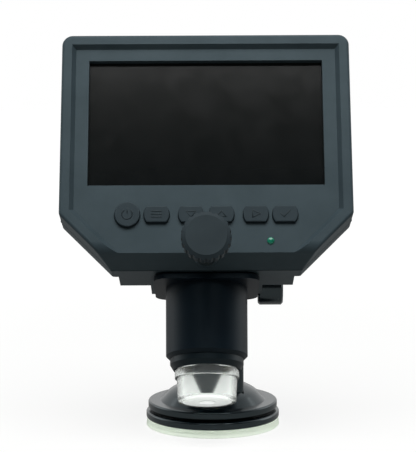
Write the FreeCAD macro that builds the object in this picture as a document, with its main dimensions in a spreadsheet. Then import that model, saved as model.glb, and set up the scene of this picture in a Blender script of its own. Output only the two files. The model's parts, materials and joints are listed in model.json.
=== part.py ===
# Handheld digital microscope with a screen, leaning back on a suction foot.
# Millimetres, +Z up, origin at the middle of the suction pad's underside,
# and the screen looks along -Y. Head pieces are drawn in the head's own frame,
# with Z along the lens tube and zero at the underside of its flange, and are
# then leaned back about the hinge of the stand.
import FreeCAD, Part
import math
import os
import Sketcher

os.makedirs("parts", exist_ok=True)
doc = FreeCAD.newDocument("microscope")
sheet = doc.addObject("Spreadsheet::Sheet", "Sizes")


class Size:
    """A number together with the sheet formula that it comes from."""

    def __init__(self, value, formula):
        self.value = value
        self.formula = formula

    def __add__(self, other):
        other = as_size(other)
        return Size(self.value + other.value, f"({self.formula} + {other.formula})")

    def __sub__(self, other):
        other = as_size(other)
        return Size(self.value - other.value, f"({self.formula} - {other.formula})")

    def __mul__(self, other):
        other = as_size(other)
        return Size(self.value * other.value, f"({self.formula} * {other.formula})")

    def __truediv__(self, other):
        other = as_size(other)
        return Size(self.value / other.value, f"({self.formula} / {other.formula})")

    def __radd__(self, other):
        return as_size(other) + self

    def __rsub__(self, other):
        return as_size(other) - self

    def __rmul__(self, other):
        return as_size(other) * self

    def __neg__(self):
        return as_size(0) - self


def as_size(number):
    """Any plain number counts as a size whose formula is itself."""
    return number if isinstance(number, Size) else Size(float(number), repr(float(number)))


def sine(angle):
    return Size(math.sin(math.radians(angle.value)), f"sin({angle.formula})")


def cosine(angle):
    return Size(math.cos(math.radians(angle.value)), f"cos({angle.formula})")


def size(alias, value, note):
    """Write one driving dimension into the sheet and hand it back."""
    row = len(size.rows) + 1
    size.rows.append(alias)
    sheet.set(f"A{row}", note)
    sheet.set(f"B{row}", str(value))
    sheet.setAlias(f"B{row}", alias)
    return Size(float(value), f"Sizes.{alias}")


size.rows = []

# The lean of the head and the place of the hinge
lean = size("lean", 23, "angle the head leans back from upright")
hinge_back = size("hinge_back", 6.7, "hinge axis behind the middle of the foot")
hinge_rise = size("hinge_rise", 59.2, "hinge axis above the table")
pivot_back = size("pivot_back", 28, "hinge axis behind the tube axis, in the head")
pivot_up = size("pivot_up", 8.4, "hinge axis above the flange underside, in the head")
stand_shift = size("stand_shift", 2.4, "stand to the right of the middle of the head")

# The case of the head
case_width = size("case_width", 120, "case, side to side")
case_top = size("case_top", 102.3, "top edge of the case above the flange underside")
case_bottom = size("case_bottom", 3, "lower edge of the case above the flange underside")
corner_cut = size("corner_cut", 21, "45 degree cut of the lower corners")
corner_round = size("corner_round", 4.5, "radius of the upper corners")
cut_round = size("cut_round", 2.5, "radius where the cut corners begin")
front_reach = size("front_reach", 31, "front face before the tube axis")
parting_reach = size("parting_reach", 19.5, "parting line before the tube axis")
back_reach = size("back_reach", 10, "back of the flat slab before the tube axis")
bend_rise = size("bend_rise", 9, "bend between the panel and the chin")
bend_round = size("bend_round", 5, "radius of that bend")
edge_round = size("edge_round", 1.2, "radius of the front edge")
shell_wall = size("shell_wall", 2.2, "wall of both shells")
recess_border = size("recess_border", 4.2, "width of the raised frame round the panel")
recess_depth = size("recess_depth", 2, "depth of the sunk panel")
recess_slope = size("recess_slope", 40, "lean of the step round the sunk panel, in degrees")
panel_wall = size("panel_wall", 3, "thickness of the panel between its faces")
chin_fill = size("chin_fill", 11.5, "top of the solid chin above the flange underside")

# The battery hump and the optics hump on the back
hump_width = size("hump_width", 72.8, "battery hump, side to side")
hump_top = size("hump_top", 62, "top of the battery hump")
hump_back = size("hump_back", 4.4, "back of the battery hump behind the tube axis")
optics_width = size("optics_width", 47.2, "optics hump, side to side")
optics_top = size("optics_top", 36, "top of the optics hump")
optics_back = size("optics_back", 19.4, "back of the optics hump behind the tube axis")
hump_round = size("hump_round", 3, "radius of the upright edges of both humps")

# The screen
window_width = size("window_width", 97.3, "opening for the screen, side to side")
window_height = size("window_height", 54.7, "opening for the screen, bottom to top")
window_drop = size("window_drop", 10.9, "top of the opening below the top of the case")
glass_thick = size("glass_thick", 1.4, "screen glass")
glass_margin = size("glass_margin", 2.4, "screen glass beyond the opening on each side")
display_thick = size("display_thick", 3.7, "display module")
board_thick = size("board_thick", 1.6, "every circuit board")

# The buttons and the lamp beside them
button_rise = size("button_rise", 24, "row of buttons above the flange underside")
button_radius = size("button_radius", 5.25, "radius of a button")
button_height = size("button_height", 6.8, "bottom to top of the flattened buttons")
button_proud = size("button_proud", 1.5, "button standing out of the panel")
button_gap = size("button_gap", 0.15, "gap round a button")
button_lip = size("button_lip", 0.6, "retaining lip of a button")
button_travel = size("button_travel", 0.5, "travel of a button")
button_edge = size("button_edge", 0.4, "rounding of the edge of a button")
button_flange = size("button_flange", 0.8, "thickness of the lip of a button")
button_stem = size("button_stem", 2, "radius of the stem of a button")
button_inner = size("button_inner", 6.15, "middle pair of buttons from the centre line")
button_second = size("button_second", 20.2, "next pair of buttons from the centre line")
button_outer = size("button_outer", 32.15, "outer pair of buttons from the centre line")
switch_width = size("switch_width", 6, "key switch, side to side")
switch_height = size("switch_height", 3, "key switch above its board")
lamp_radius = size("lamp_radius", 1.45, "radius of the charging lamp")
lamp_side = size("lamp_side", 26.1, "charging lamp to the right of the centre line")
lamp_rise = size("lamp_rise", 12.9, "charging lamp above the flange underside")
lamp_proud = size("lamp_proud", 0.3, "charging lamp standing out of the panel")

# The lens tube
flange_width = size("flange_width", 43.5, "flange of the tube, side to side")
flange_front = size("flange_front", 19, "front edge of the flange before the tube axis")
flange_rear = size("flange_rear", 18.2, "rear edge of the flange behind the tube axis")
flange_round = size("flange_round", 6, "corner radius of the flange")
flange_bevel = size("flange_bevel", 1, "bevel round the upper edge of the flange")
tube_radius = size("tube_radius", 17.1, "radius of the tube at its top")
tube_taper = size("tube_taper", 0.15, "the tube narrows by this down to its end")
tube_length = size("tube_length", 29.9, "tube below the flange")
tube_bevel = size("tube_bevel", 1.4, "bevel at the end of the tube")
bore_radius = size("bore_radius", 13, "bore of the tube")
sleeve_radius = size("sleeve_radius", 15, "sleeve inside the case")
sleeve_top = size("sleeve_top", 30, "top of the sleeve")
seat_radius = size("seat_radius", 14.9, "wide bore at the end of the tube")
seat_depth = size("seat_depth", 3.9, "depth of the wide bore")
guide_bore = size("guide_bore", 10.5, "bore of the guide that the lens slides in")
guide_drop = size("guide_drop", 2, "top of the guide below the flange underside")
guide_flange = size("guide_flange", 2, "thickness of the flange of the guide")
slip = size("slip", 0.05, "clearance of a sliding or turning fit")
snug = size("snug", 0.1, "clearance between pieces that are pushed together")

# The end ring, the clear cap and the light ring
ring_radius = size("ring_radius", 15.25, "radius of the end ring")
ring_straight = size("ring_straight", 2.4, "straight part of the end ring")
ring_bevel = size("ring_bevel", 2.2, "bevelled part of the end ring")
ring_narrow = size("ring_narrow", 13.9, "radius of the end ring at its lower edge")
cap_flange = size("cap_flange", 13.3, "radius of the collar of the clear cap")
cap_collar = size("cap_collar", 3.8, "height of that collar")
cap_radius = size("cap_radius", 12.5, "radius of the cap under its collar")
cap_taper = size("cap_taper", 0.4, "the cap narrows by this down to its foot")
cap_height = size("cap_height", 9.7, "cap below its collar")
cap_wall = size("cap_wall", 1.4, "wall of the cap")
cap_neck_wall = size("cap_neck_wall", 1, "wall of the collar and the neck of the cap")
cap_ledge = size("cap_ledge", 0.8, "ledge inside the cap above the foot of its collar")
cap_round = size("cap_round", 1.2, "radius round the foot of the cap")
cap_hole = size("cap_hole", 3, "radius of the viewing hole in the cap")
cap_neck = size("cap_neck", 3.1, "neck of the cap inside the end ring")
light_count = 8
light_circle = size("light_circle", 10.4, "circle of the lights")
light_radius = size("light_radius", 1.35, "radius of a light")
light_height = size("light_height", 1.6, "height of a light")
light_hole = size("light_hole", 8.2, "hole in the board of the lights")

# The sliding lens
carrier_wall = size("carrier_wall", 2.05, "wall of the lens carrier")
carrier_top = size("carrier_top", 4, "top of the carrier below the flange underside")
carrier_end = size("carrier_end", 26.8, "end of the carrier below the flange underside")
nose_thread = size("nose_thread", 4.8, "thread of the lens nose in the carrier")
nose_radius = size("nose_radius", 6.4, "radius of the lens nose")
nose_straight = size("nose_straight", 8.8, "straight part of the nose below the carrier")
nose_cone_length = size("nose_cone_length", 9.6, "cone of the nose")
nose_tip = size("nose_tip", 1.9, "radius of the tip of the nose")
nose_wall = size("nose_wall", 1.3, "wall of the nose")
tip_hole = size("tip_hole", 1.3, "radius of the opening in the tip")
tip_rim = size("tip_rim", 0.2, "tip of the nose beyond each face of the front lens")
rear_lens_thick = size("rear_lens_thick", 3, "rear lens")
front_lens_thick = size("front_lens_thick", 1.4, "front lens")

# The focus drive
focus_rise = size("focus_rise", 9.3, "focus shaft above the flange underside")
shaft_radius = size("shaft_radius", 2, "focus shaft")
pinion_teeth = 12
pinion_radius = size("pinion_radius", 3.3, "radius over the teeth of the pinion")
tooth_depth = size("tooth_depth", 0.9, "depth of a tooth")
tooth_root = size("tooth_root", 0.2, "root of a tooth inside what carries it")
pinion_near = size("pinion_near", 5, "inner end of the pinion before the tube axis")
pinion_width = size("pinion_width", 3, "width of the pinion and of the rack")
rack_gap = size("rack_gap", 0.12, "running gap between pinion and rack")
rack_thick = size("rack_thick", 2.9, "rack with its teeth")
rack_top = size("rack_top", 13, "top of the rack above the flange underside")
bush_radius = size("bush_radius", 4, "radius of the shaft bush")
bush_boss = size("bush_boss", 6, "radius of the boss round the bush")
bush_clear = size("bush_clear", 0.3, "bush before the key board")
knob_reach = size("knob_reach", 50.5, "front of the focus knob before the tube axis")
knob_radius = size("knob_radius", 10, "radius of the focus knob over its ribs")
knob_face = size("knob_face", 8.2, "radius of the flat face of the focus knob")
knob_thick = size("knob_thick", 6.5, "thickness of the focus knob")
knob_bevel = size("knob_bevel", 1.2, "bevel round the face of the focus knob")
knob_back_bevel = size("knob_back_bevel", 0.5, "bevel round the back of the focus knob")
knob_socket = size("knob_socket", 2, "depth of the shaft in the focus knob")
knob_hub = size("knob_hub", 4.9, "radius of the hub of the focus knob")
knob_clear = size("knob_clear", 0.4, "gap between the hub and the bush")
knob_ribs = 22
rib_groove = size("rib_groove", 0.85, "radius of a groove between two ribs")

# Battery, boards and sockets
battery_radius = size("battery_radius", 9.15, "radius of the battery")
battery_length = size("battery_length", 65, "length of the battery")
battery_rise = size("battery_rise", 50, "battery axis above the flange underside")
battery_clear = size("battery_clear", 0.5, "gap between the battery and its door")
door_width = size("door_width", 65.6, "battery door, side to side")
door_foot = size("door_foot", 39.2, "lower edge of the door above the flange underside")
door_thick = size("door_thick", 2, "battery door")
door_gap = size("door_gap", 0.2, "gap round the door")
contact_size = size("contact_size", 10, "side of a battery contact")
board_inset = size("board_inset", 4.2, "side edges of the main board inside the case")
board_foot = size("board_foot", 36, "lower edge of the main board")
board_drop = size("board_drop", 10.3, "upper edge of the main board below the top of the case")
chip_side = size("chip_side", 12, "side of the largest chip")
chip_height = size("chip_height", 1.4, "chips above the board")
key_board_side = size("key_board_side", 42.4, "key board from the centre line")
key_board_foot = size("key_board_foot", 11.6, "lower edge of the key board")
key_board_head = size("key_board_head", 33.4, "upper edge of the key board")
post_radius = size("post_radius", 2, "posts that carry the key board")
post_side = size("post_side", 40, "those posts from the centre line")
post_rise = size("post_rise", 28, "those posts above the flange underside")
socket_gap = size("socket_gap", 0.25, "gap round a socket in the wall")
socket_inset = size("socket_inset", 0.3, "mouth of a socket inside the outer face")
charge_width = size("charge_width", 9, "charging socket along the wall")
charge_height = size("charge_height", 3.2, "charging socket above its board")
charge_length = size("charge_length", 8.6, "charging socket into the case")
charge_rise = size("charge_rise", 64.5, "charging socket above the flange underside")
card_width = size("card_width", 12, "card socket along the wall")
card_height = size("card_height", 1.9, "card socket above its board")
card_length = size("card_length", 15, "card socket into the case")
card_rise = size("card_rise", 82, "card socket above the flange underside")
sensor_board_side = size("sensor_board_side", 15, "half side of the sensor board")
sensor_side = size("sensor_side", 8, "side of the image sensor")
sensor_height = size("sensor_height", 1.2, "image sensor under its board")

# Screws
screw_radius = size("screw_radius", 1.05, "shank of the small screws")
screw_head = size("screw_head", 2.2, "head of the small screws")
screw_head_height = size("screw_head_height", 1.5, "height of those heads")
screw_root = size("screw_root", 0.5, "shank of a small screw inside its head")
thread_spare = size("thread_spare", 1.2, "depth of a screw hole beyond its screw")
boss_radius = size("boss_radius", 2.6, "bosses for the case screws")
boss_side_top = size("boss_side_top", 54.6, "upper bosses from the centre line")
boss_drop = size("boss_drop", 5.9, "upper bosses below the top of the case")
boss_side_low = size("boss_side_low", 46, "lower bosses from the centre line")
boss_rise_low = size("boss_rise_low", 18, "lower bosses above the flange underside")
case_screw_tip = size("case_screw_tip", 24, "tip of the case screws before the tube axis")
flange_screw_inset = size("flange_screw_inset", 3.9, "flange screws from the walls of the optics hump")
flange_screw_front = size("flange_screw_front", 9, "front flange screws before the tube axis")
flange_screw_rear = size("flange_screw_rear", 13, "rear flange screws behind the tube axis")
flange_screw_tip = size("flange_screw_tip", 0.8, "tip of the flange screws")

# The hinge between head and stand
lug_width = size("lug_width", 15.6, "lug of the head between the ears of the arm")
lug_radius = size("lug_radius", 7.6, "radius of the lug round the hinge")
fork_gap = size("fork_gap", 0.2, "gap between the lug and each ear")
gusset = size("gusset", 45, "where the gusset of the bracket leaves the lug, in degrees")
gusset_rise = size("gusset_rise", 4, "gusset above the lower edge of the bracket plate")
plate_width = size("plate_width", 30, "bracket plate, side to side")
plate_thick = size("plate_thick", 2.5, "bracket plate")
plate_foot = size("plate_foot", 19.2, "lower edge of the bracket plate")
plate_head = size("plate_head", 32, "upper edge of the bracket plate")
plate_screw_side = size("plate_screw_side", 11, "bracket screws from the middle of the plate")
plate_screw_low = size("plate_screw_low", 22.6, "lower bracket screws")
plate_screw_high = size("plate_screw_high", 28.4, "upper bracket screws")
plate_screw_grip = size("plate_screw_grip", 2.8, "bracket screws into the case")
bolt_radius = size("bolt_radius", 2.5, "hinge bolt")
nut_width = size("nut_width", 8, "hinge nut across its flats")
nut_thick = size("nut_thick", 4, "hinge nut")
washer_radius = size("washer_radius", 5.5, "washer under the lock knob")
washer_thick = size("washer_thick", 1, "washer under the lock knob, thickness")
lock_radius = size("lock_radius", 8, "radius of the lock knob")
lock_start = size("lock_start", 19.9, "inner face of the lock knob from the middle of the stand")
lock_end = size("lock_end", 30.7, "outer face of the lock knob from the middle of the stand")
lock_neck = size("lock_neck", 4, "radius of the neck of the lock knob")
lock_bevel = size("lock_bevel", 0.8, "bevel of the lock knob")
lock_bore = size("lock_bore", 5.5, "depth of the bolt in the lock knob's body")

# The arm and the foot
arm_width = size("arm_width", 26.6, "arm, side to side")
arm_deep = size("arm_deep", 24, "arm at its foot, front to back")
arm_knee = size("arm_knee", 30, "height where the front of the arm starts to lean back")
arm_head = size("arm_head", 8, "radius of the arm round the hinge")
arm_round = size("arm_round", 2.5, "radius of the long edges of the arm")
arm_slot = size("arm_slot", 11.4, "floor of the fork below the hinge axis")
arm_seat = size("arm_seat", 13.5, "foot of the arm above the table")
pad_radius = size("pad_radius", 28.9, "radius of the suction pad")
pad_thick = size("pad_thick", 3.2, "thickness of the suction pad")
pad_edge = size("pad_edge", 0.5, "rounding of the rim of the suction pad")
ring_clear = size("ring_clear", 0.1, "gap between the lock ring and the pad")
lock_ring_radius = size("lock_ring_radius", 28.9, "radius of the lock ring")
lock_ring_thick = size("lock_ring_thick", 3.2, "thickness of the lock ring")
foot_groove = size("foot_groove", 1.1, "groove between the lock ring and the foot")
foot_radius = size("foot_radius", 28, "radius of the foot")
foot_thick = size("foot_thick", 3.3, "thickness of the rim of the foot")
foot_round = size("foot_round", 0.8, "radius of the outer edges of foot and lock ring")
foot_hub = size("foot_hub", 18, "hub that the lock ring turns on")
dome_radius = size("dome_radius", 22.9, "radius of the dome where it meets the rim")
dome_shoulder = size("dome_shoulder", 18.8, "radius of the dome's shoulder")
shoulder_rise = size("shoulder_rise", 4.1, "shoulder of the dome above the rim")
dome_top = size("dome_top", 13, "radius of the top of the dome")
dome_rise = size("dome_rise", 7.2, "top of the dome above the rim")
dome_round = size("dome_round", 10, "radius that smooths the shoulder")
stem_radius = size("stem_radius", 3, "stem of the suction pad")
stem_disc = size("stem_disc", 6.2, "disc of the stem on the pad")
stem_disc_thick = size("stem_disc_thick", 1.2, "disc of the stem, thickness")
stem_web = size("stem_web", 3, "web of the foot that the stem hangs from")
stem_web_rise = size("stem_web_rise", 0.4, "underside of that web above the groove of the foot")
stem_clear = size("stem_clear", 0.3, "gap round the disc of the stem")
stem_nut_width = size("stem_nut_width", 9, "stem nut across its flats")
stem_nut_thick = size("stem_nut_thick", 2.4, "stem nut")
foot_screw_side = size("foot_screw_side", 10.5, "arm screws from the middle of the stand")
foot_screw_radius = size("foot_screw_radius", 1.5, "shank of the arm screws")
foot_screw_head = size("foot_screw_head", 2.8, "head of the arm screws")
foot_screw_grip = size("foot_screw_grip", 10.5, "arm screws into the arm")
foot_screw_head_height = size("foot_screw_head_height", 2.4, "height of the heads of the arm screws")
foot_screw_sunk = size("foot_screw_sunk", 0.2, "heads of the arm screws above the underside of the foot")

doc.recompute()

# Places that follow from the sizes above
half_width = case_width / 2
cut_line = half_width - case_bottom - corner_cut
boss_rise_top = case_top - boss_drop
board_side = half_width - board_inset
board_head = case_top - board_drop
flange_screw_side = optics_width / 2 - shell_wall - flange_screw_inset
panel_reach = front_reach - recess_depth
inner_reach = panel_reach - panel_wall
glass_reach = inner_reach - glass_thick
board_front = glass_reach - display_thick
board_back = board_front - board_thick
slab_inside = back_reach + shell_wall
window_top = case_top - window_drop
window_foot = window_top - window_height
ring_top = -tube_length
ring_end = ring_top - ring_straight - ring_bevel
guide_ledge = ring_top + seat_depth
guide_end = guide_ledge - guide_flange
light_face = guide_end - board_thick
collar_end = ring_end - cap_collar
cap_end = collar_end - cap_height
carrier_radius = guide_bore - slip
carrier_bore = carrier_radius - carrier_wall
nose_start = -carrier_end - nose_straight
nose_end = nose_start - nose_cone_length
knob_back = knob_reach - knob_thick
battery_reach = battery_radius + battery_clear + door_thick - hump_back
bush_back = board_front + bush_clear
pad_top = pad_thick
ring_low = pad_top + ring_clear
foot_low = ring_low + lock_ring_thick + foot_groove
foot_high = foot_low + foot_thick
web_low = foot_low + stem_web_rise
web_high = web_low + stem_web
ear_side = arm_width / 2

# Where the small screws, buttons and bosses stand, as (side, height)
case_screws = [
    (boss_side_top, boss_rise_top),
    (-boss_side_top, boss_rise_top),
    (boss_side_low, boss_rise_low),
    (-boss_side_low, boss_rise_low),
]
flange_screws = [
    (flange_screw_side, -flange_screw_front),
    (-flange_screw_side, -flange_screw_front),
    (flange_screw_side, flange_screw_rear),
    (-flange_screw_side, flange_screw_rear),
]
plate_screws = [
    (stand_shift + plate_screw_side, plate_screw_low),
    (stand_shift - plate_screw_side, plate_screw_low),
    (stand_shift + plate_screw_side, plate_screw_high),
    (stand_shift - plate_screw_side, plate_screw_high),
]
round_button = ("button_power", -button_outer)
flat_buttons = [
    ("button_menu", -button_second),
    ("button_down", -button_inner),
    ("button_up", button_inner),
    ("button_play", button_second),
    ("button_ok", button_outer),
]


def bind(feature, path, value):
    """Set a property to a size and keep it tied to the sheet."""
    value = as_size(value)
    feature.setExpression(path, value.formula)
    return value.value


def place(part, base, axis=(0, 0, 1), angle=0):
    """Put a part at a base point, turned about an axis, both tied to the sheet."""
    base = [as_size(number) for number in base]
    angle = as_size(angle)
    point = FreeCAD.Vector(*[number.value for number in base])
    part.Placement = FreeCAD.Placement(point, FreeCAD.Rotation(FreeCAD.Vector(*axis), angle.value))
    for letter, number in zip("xyz", base):
        part.setExpression(f"Placement.Base.{letter}", number.formula)
    if angle.value:
        part.setExpression("Placement.Rotation.Angle", angle.formula)
    return part


def lean_head(part):
    """Lean a piece of the head back, so that its hinge meets the stand's."""
    back = hinge_back - pivot_back * cosine(lean) - pivot_up * sine(lean)
    rise = hinge_rise + pivot_back * sine(lean) - pivot_up * cosine(lean)
    return place(part, (-stand_shift, back, rise), axis=(-1, 0, 0), angle=lean)


def new_body(name):
    body = doc.addObject("PartDesign::Body", name)
    body.Label = name
    return body


def new_sketch(body, role, offset=(0, 0, 0)):
    """A sketch on an origin plane, moved by an offset in the sketch's own axes."""
    sketch = body.newObject("Sketcher::SketchObject", f"{body.Name}_sketch")
    support = [item for item in body.Origin.OriginFeatures if item.Role == role]
    sketch.AttachmentSupport = [(support[0], "")]
    sketch.MapMode = "FlatFace"
    offset = [as_size(number) for number in offset]
    shift = FreeCAD.Vector(*[number.value for number in offset])
    sketch.AttachmentOffset = FreeCAD.Placement(shift, FreeCAD.Rotation())
    for letter, number in zip("xyz", offset):
        sketch.setExpression(f"AttachmentOffset.Base.{letter}", number.formula)
    return sketch


def pin_point(sketch, geometry, point, x, y):
    """Hold one point of a sketch at a formula in x and one in y."""
    for kind, number in (("DistanceX", x), ("DistanceY", y)):
        index = sketch.addConstraint(Sketcher.Constraint(kind, -1, 1, geometry, point, number.value))
        sketch.setExpression(f"Constraints[{index}]", number.formula)


def add_outline(sketch, corners):
    """A closed outline of straight edges."""
    corners = [(as_size(x), as_size(y)) for x, y in corners]
    points = [FreeCAD.Vector(x.value, y.value, 0) for x, y in corners]
    first = sketch.GeometryCount
    count = len(corners)
    for index in range(count):
        sketch.addGeometry(Part.LineSegment(points[index], points[(index + 1) % count]), False)
    for index in range(count):
        here = first + index
        after = first + (index + 1) % count
        sketch.addConstraint(Sketcher.Constraint("Coincident", here, 2, after, 1))
    for index, (x, y) in enumerate(corners):
        pin_point(sketch, first + index, 1, x, y)


def add_circle(sketch, x, y, radius):
    x, y, radius = as_size(x), as_size(y), as_size(radius)
    centre = FreeCAD.Vector(x.value, y.value, 0)
    circle = sketch.addGeometry(Part.Circle(centre, FreeCAD.Vector(0, 0, 1), radius.value), False)
    index = sketch.addConstraint(Sketcher.Constraint("Radius", circle, radius.value))
    sketch.setExpression(f"Constraints[{index}]", radius.formula)
    pin_point(sketch, circle, 3, x, y)


def add_flat_circle(sketch, x, y, radius, half_height):
    """A circle with its top and bottom cut off straight."""
    x, y, radius, half_height = as_size(x), as_size(y), as_size(radius), as_size(half_height)
    centre = FreeCAD.Vector(x.value, y.value, 0)
    circle = Part.Circle(centre, FreeCAD.Vector(0, 0, 1), radius.value)
    rise = math.asin(half_height.value / radius.value)
    right = sketch.addGeometry(Part.ArcOfCircle(circle, -rise, rise), False)
    left = sketch.addGeometry(Part.ArcOfCircle(circle, math.pi - rise, math.pi + rise), False)
    reach = radius.value * math.cos(rise)
    tops = [FreeCAD.Vector(x.value + side * reach, y.value + half_height.value, 0) for side in (1, -1)]
    feet = [FreeCAD.Vector(x.value + side * reach, y.value - half_height.value, 0) for side in (-1, 1)]
    top = sketch.addGeometry(Part.LineSegment(*tops), False)
    foot = sketch.addGeometry(Part.LineSegment(*feet), False)
    for first, first_point, second, second_point in (
        (right, 2, top, 1), (top, 2, left, 1), (left, 2, foot, 1), (foot, 2, right, 1),
    ):
        sketch.addConstraint(Sketcher.Constraint("Coincident", first, first_point, second, second_point))
    sketch.addConstraint(Sketcher.Constraint("Coincident", right, 3, left, 3))
    sketch.addConstraint(Sketcher.Constraint("Horizontal", top))
    sketch.addConstraint(Sketcher.Constraint("Horizontal", foot))
    index = sketch.addConstraint(Sketcher.Constraint("Radius", right, radius.value))
    sketch.setExpression(f"Constraints[{index}]", radius.formula)
    pin_point(sketch, right, 3, x, y)
    for line, level in ((top, y + half_height), (foot, y - half_height)):
        index = sketch.addConstraint(Sketcher.Constraint("DistanceY", -1, 1, line, 1, level.value))
        sketch.setExpression(f"Constraints[{index}]", level.formula)


def rectangle(left, right, low, high):
    return [(left, low), (right, low), (right, high), (left, high)]


def finish_feature(feature, changed=None):
    """Recompute a feature, and stop if it failed or left its body's volume as it was."""
    doc.recompute()
    if "Invalid" in feature.State or "Error" in feature.State:
        raise RuntimeError(f"{feature.Name} failed")
    if changed is not None and abs(feature.Shape.Volume - changed) < 1e-6:
        raise RuntimeError(f"{feature.Name} changed nothing")
    return feature


def pad(body, sketch, length):
    """Add the sketch's outline, drawn out along the normal of the sketch."""
    feature = body.newObject("PartDesign::Pad", f"{body.Name}_pad")
    feature.Profile = sketch
    feature.Length = bind(feature, "Length", length)
    return finish_feature(feature)


def cut(body, sketch, length, slope=None):
    """Cut the sketch's outline away along the normal, or sloping back into the piece."""
    before = body.Shape.Volume
    feature = body.newObject("PartDesign::Pocket", f"{body.Name}_cut")
    feature.Profile = sketch
    feature.Length = bind(feature, "Length", length)
    feature.Reversed = slope is None
    if slope is not None:
        feature.TaperAngle = bind(feature, "TaperAngle", -slope)
    return finish_feature(feature, before)


def spin(body, sketch, axis):
    """Turn the sketch's outline about one of the sketch's own axes."""
    feature = body.newObject("PartDesign::Revolution", f"{body.Name}_turned")
    feature.Profile = sketch
    feature.ReferenceAxis = (sketch, [axis])
    feature.Angle = 360
    return finish_feature(feature)


def groove(body, sketch, axis):
    before = body.Shape.Volume
    feature = body.newObject("PartDesign::Groove", f"{body.Name}_groove")
    feature.Profile = sketch
    feature.ReferenceAxis = (sketch, [axis])
    feature.Angle = 360
    return finish_feature(feature, before)


def dress(body, kind, amount, chosen):
    """Round or bevel the edges of the body's last feature that a test picks."""
    base = body.Tip
    names = [f"Edge{index + 1}" for index, edge in enumerate(base.Shape.Edges) if chosen(edge)]
    if not names:
        raise RuntimeError(f"no edge to dress on {body.Name}")
    feature = body.newObject(f"PartDesign::{kind}", f"{body.Name}_{kind.lower()}")
    feature.Base = (base, names)
    path = "Radius" if kind == "Fillet" else "Size"
    setattr(feature, path, bind(feature, path, amount))
    return finish_feature(feature)


def repeat_round(body, feature, sketch, count):
    """Repeat a feature round the normal axis of its sketch."""
    pattern = body.newObject("PartDesign::PolarPattern", f"{body.Name}_pattern")
    pattern.Originals = [feature]
    pattern.Axis = (sketch, ["N_Axis"])
    pattern.Angle = 360
    pattern.Occurrences = count
    body.Tip = pattern
    return finish_feature(pattern)


def near(first, second, reach=0.02):
    return abs(first - as_size(second).value) < reach


def runs_along(edge, letter):
    """Whether a straight edge is parallel to one of the axes."""
    if edge.Curve.TypeId != "Part::GeomLine":
        return False
    direction = edge.tangentAt(edge.FirstParameter)
    return abs(getattr(direction, letter)) > 0.999


def is_ring(edge, radius, height, letter="z"):
    """Whether an edge is a full circle of a radius, at a height along an axis."""
    if edge.Curve.TypeId != "Part::GeomCircle":
        return False
    return near(edge.Curve.Radius, radius) and near(getattr(edge.Curve.Center, letter), height)


def block(name, role, offset, corners, length):
    """A piece made of one outline drawn out to a length."""
    body = new_body(name)
    sketch = new_sketch(body, role, offset)
    add_outline(sketch, corners)
    pad(body, sketch, length)
    return body


def turned_up(name, profile):
    """A piece turned about the upright axis, from (radius, height) corners."""
    body = new_body(name)
    sketch = new_sketch(body, "XZ_Plane")
    add_outline(sketch, profile)
    spin(body, sketch, "V_Axis")
    return body


def rod(radius, length, base, along="z"):
    """A plain cylinder from a base point, along +z, along +x or forwards, which is -y."""
    piece = doc.addObject("Part::Cylinder", "Rod")
    piece.Radius = bind(piece, "Radius", radius)
    piece.Height = bind(piece, "Height", length)
    axis, angle = {"z": ((0, 0, 1), 0), "x": ((0, 1, 0), 90), "forward": ((1, 0, 0), 90)}[along]
    return place(piece, base, axis, angle)


def brick(low, high):
    """A plain box between its lowest and highest corners."""
    piece = doc.addObject("Part::Box", "Brick")
    low = [as_size(number) for number in low]
    high = [as_size(number) for number in high]
    for path, start, end in zip(("Length", "Width", "Height"), low, high):
        setattr(piece, path, bind(piece, path, end - start))
    return place(piece, low)


def join(pieces):
    """One solid made of several that touch or overlap."""
    fused = doc.addObject("Part::MultiFuse", "Joined")
    fused.Shapes = pieces
    return finish_feature(fused)


def group(name, pieces):
    """Like pieces that stay separate solids under one name."""
    compound = doc.addObject("Part::Compound", name)
    compound.Label = name
    compound.Links = pieces
    return finish_feature(compound)


def case_outline(inset, low):
    """The outline of the case, drawn in by an inset, from a lower edge up."""
    side = half_width - inset
    slant = cut_line - math.sqrt(2) * as_size(inset)
    start = side - slant
    top = case_top - inset
    foot = slant + low
    return [(-foot, low), (foot, low), (side, start), (side, top), (-side, top), (-side, start)]


def round_case(body):
    """Round the upper corners and the ends of the cut corners of a shell."""
    limit = case_top.value - corner_round.value
    dress(body, "Fillet", corner_round,
          lambda edge: runs_along(edge, "y") and edge.CenterOfMass.z > limit)
    start = case_bottom.value + corner_cut.value
    dress(body, "Fillet", cut_round,
          lambda edge: runs_along(edge, "y") and near(edge.CenterOfMass.z, start)
          and near(abs(edge.CenterOfMass.x), half_width))


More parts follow.
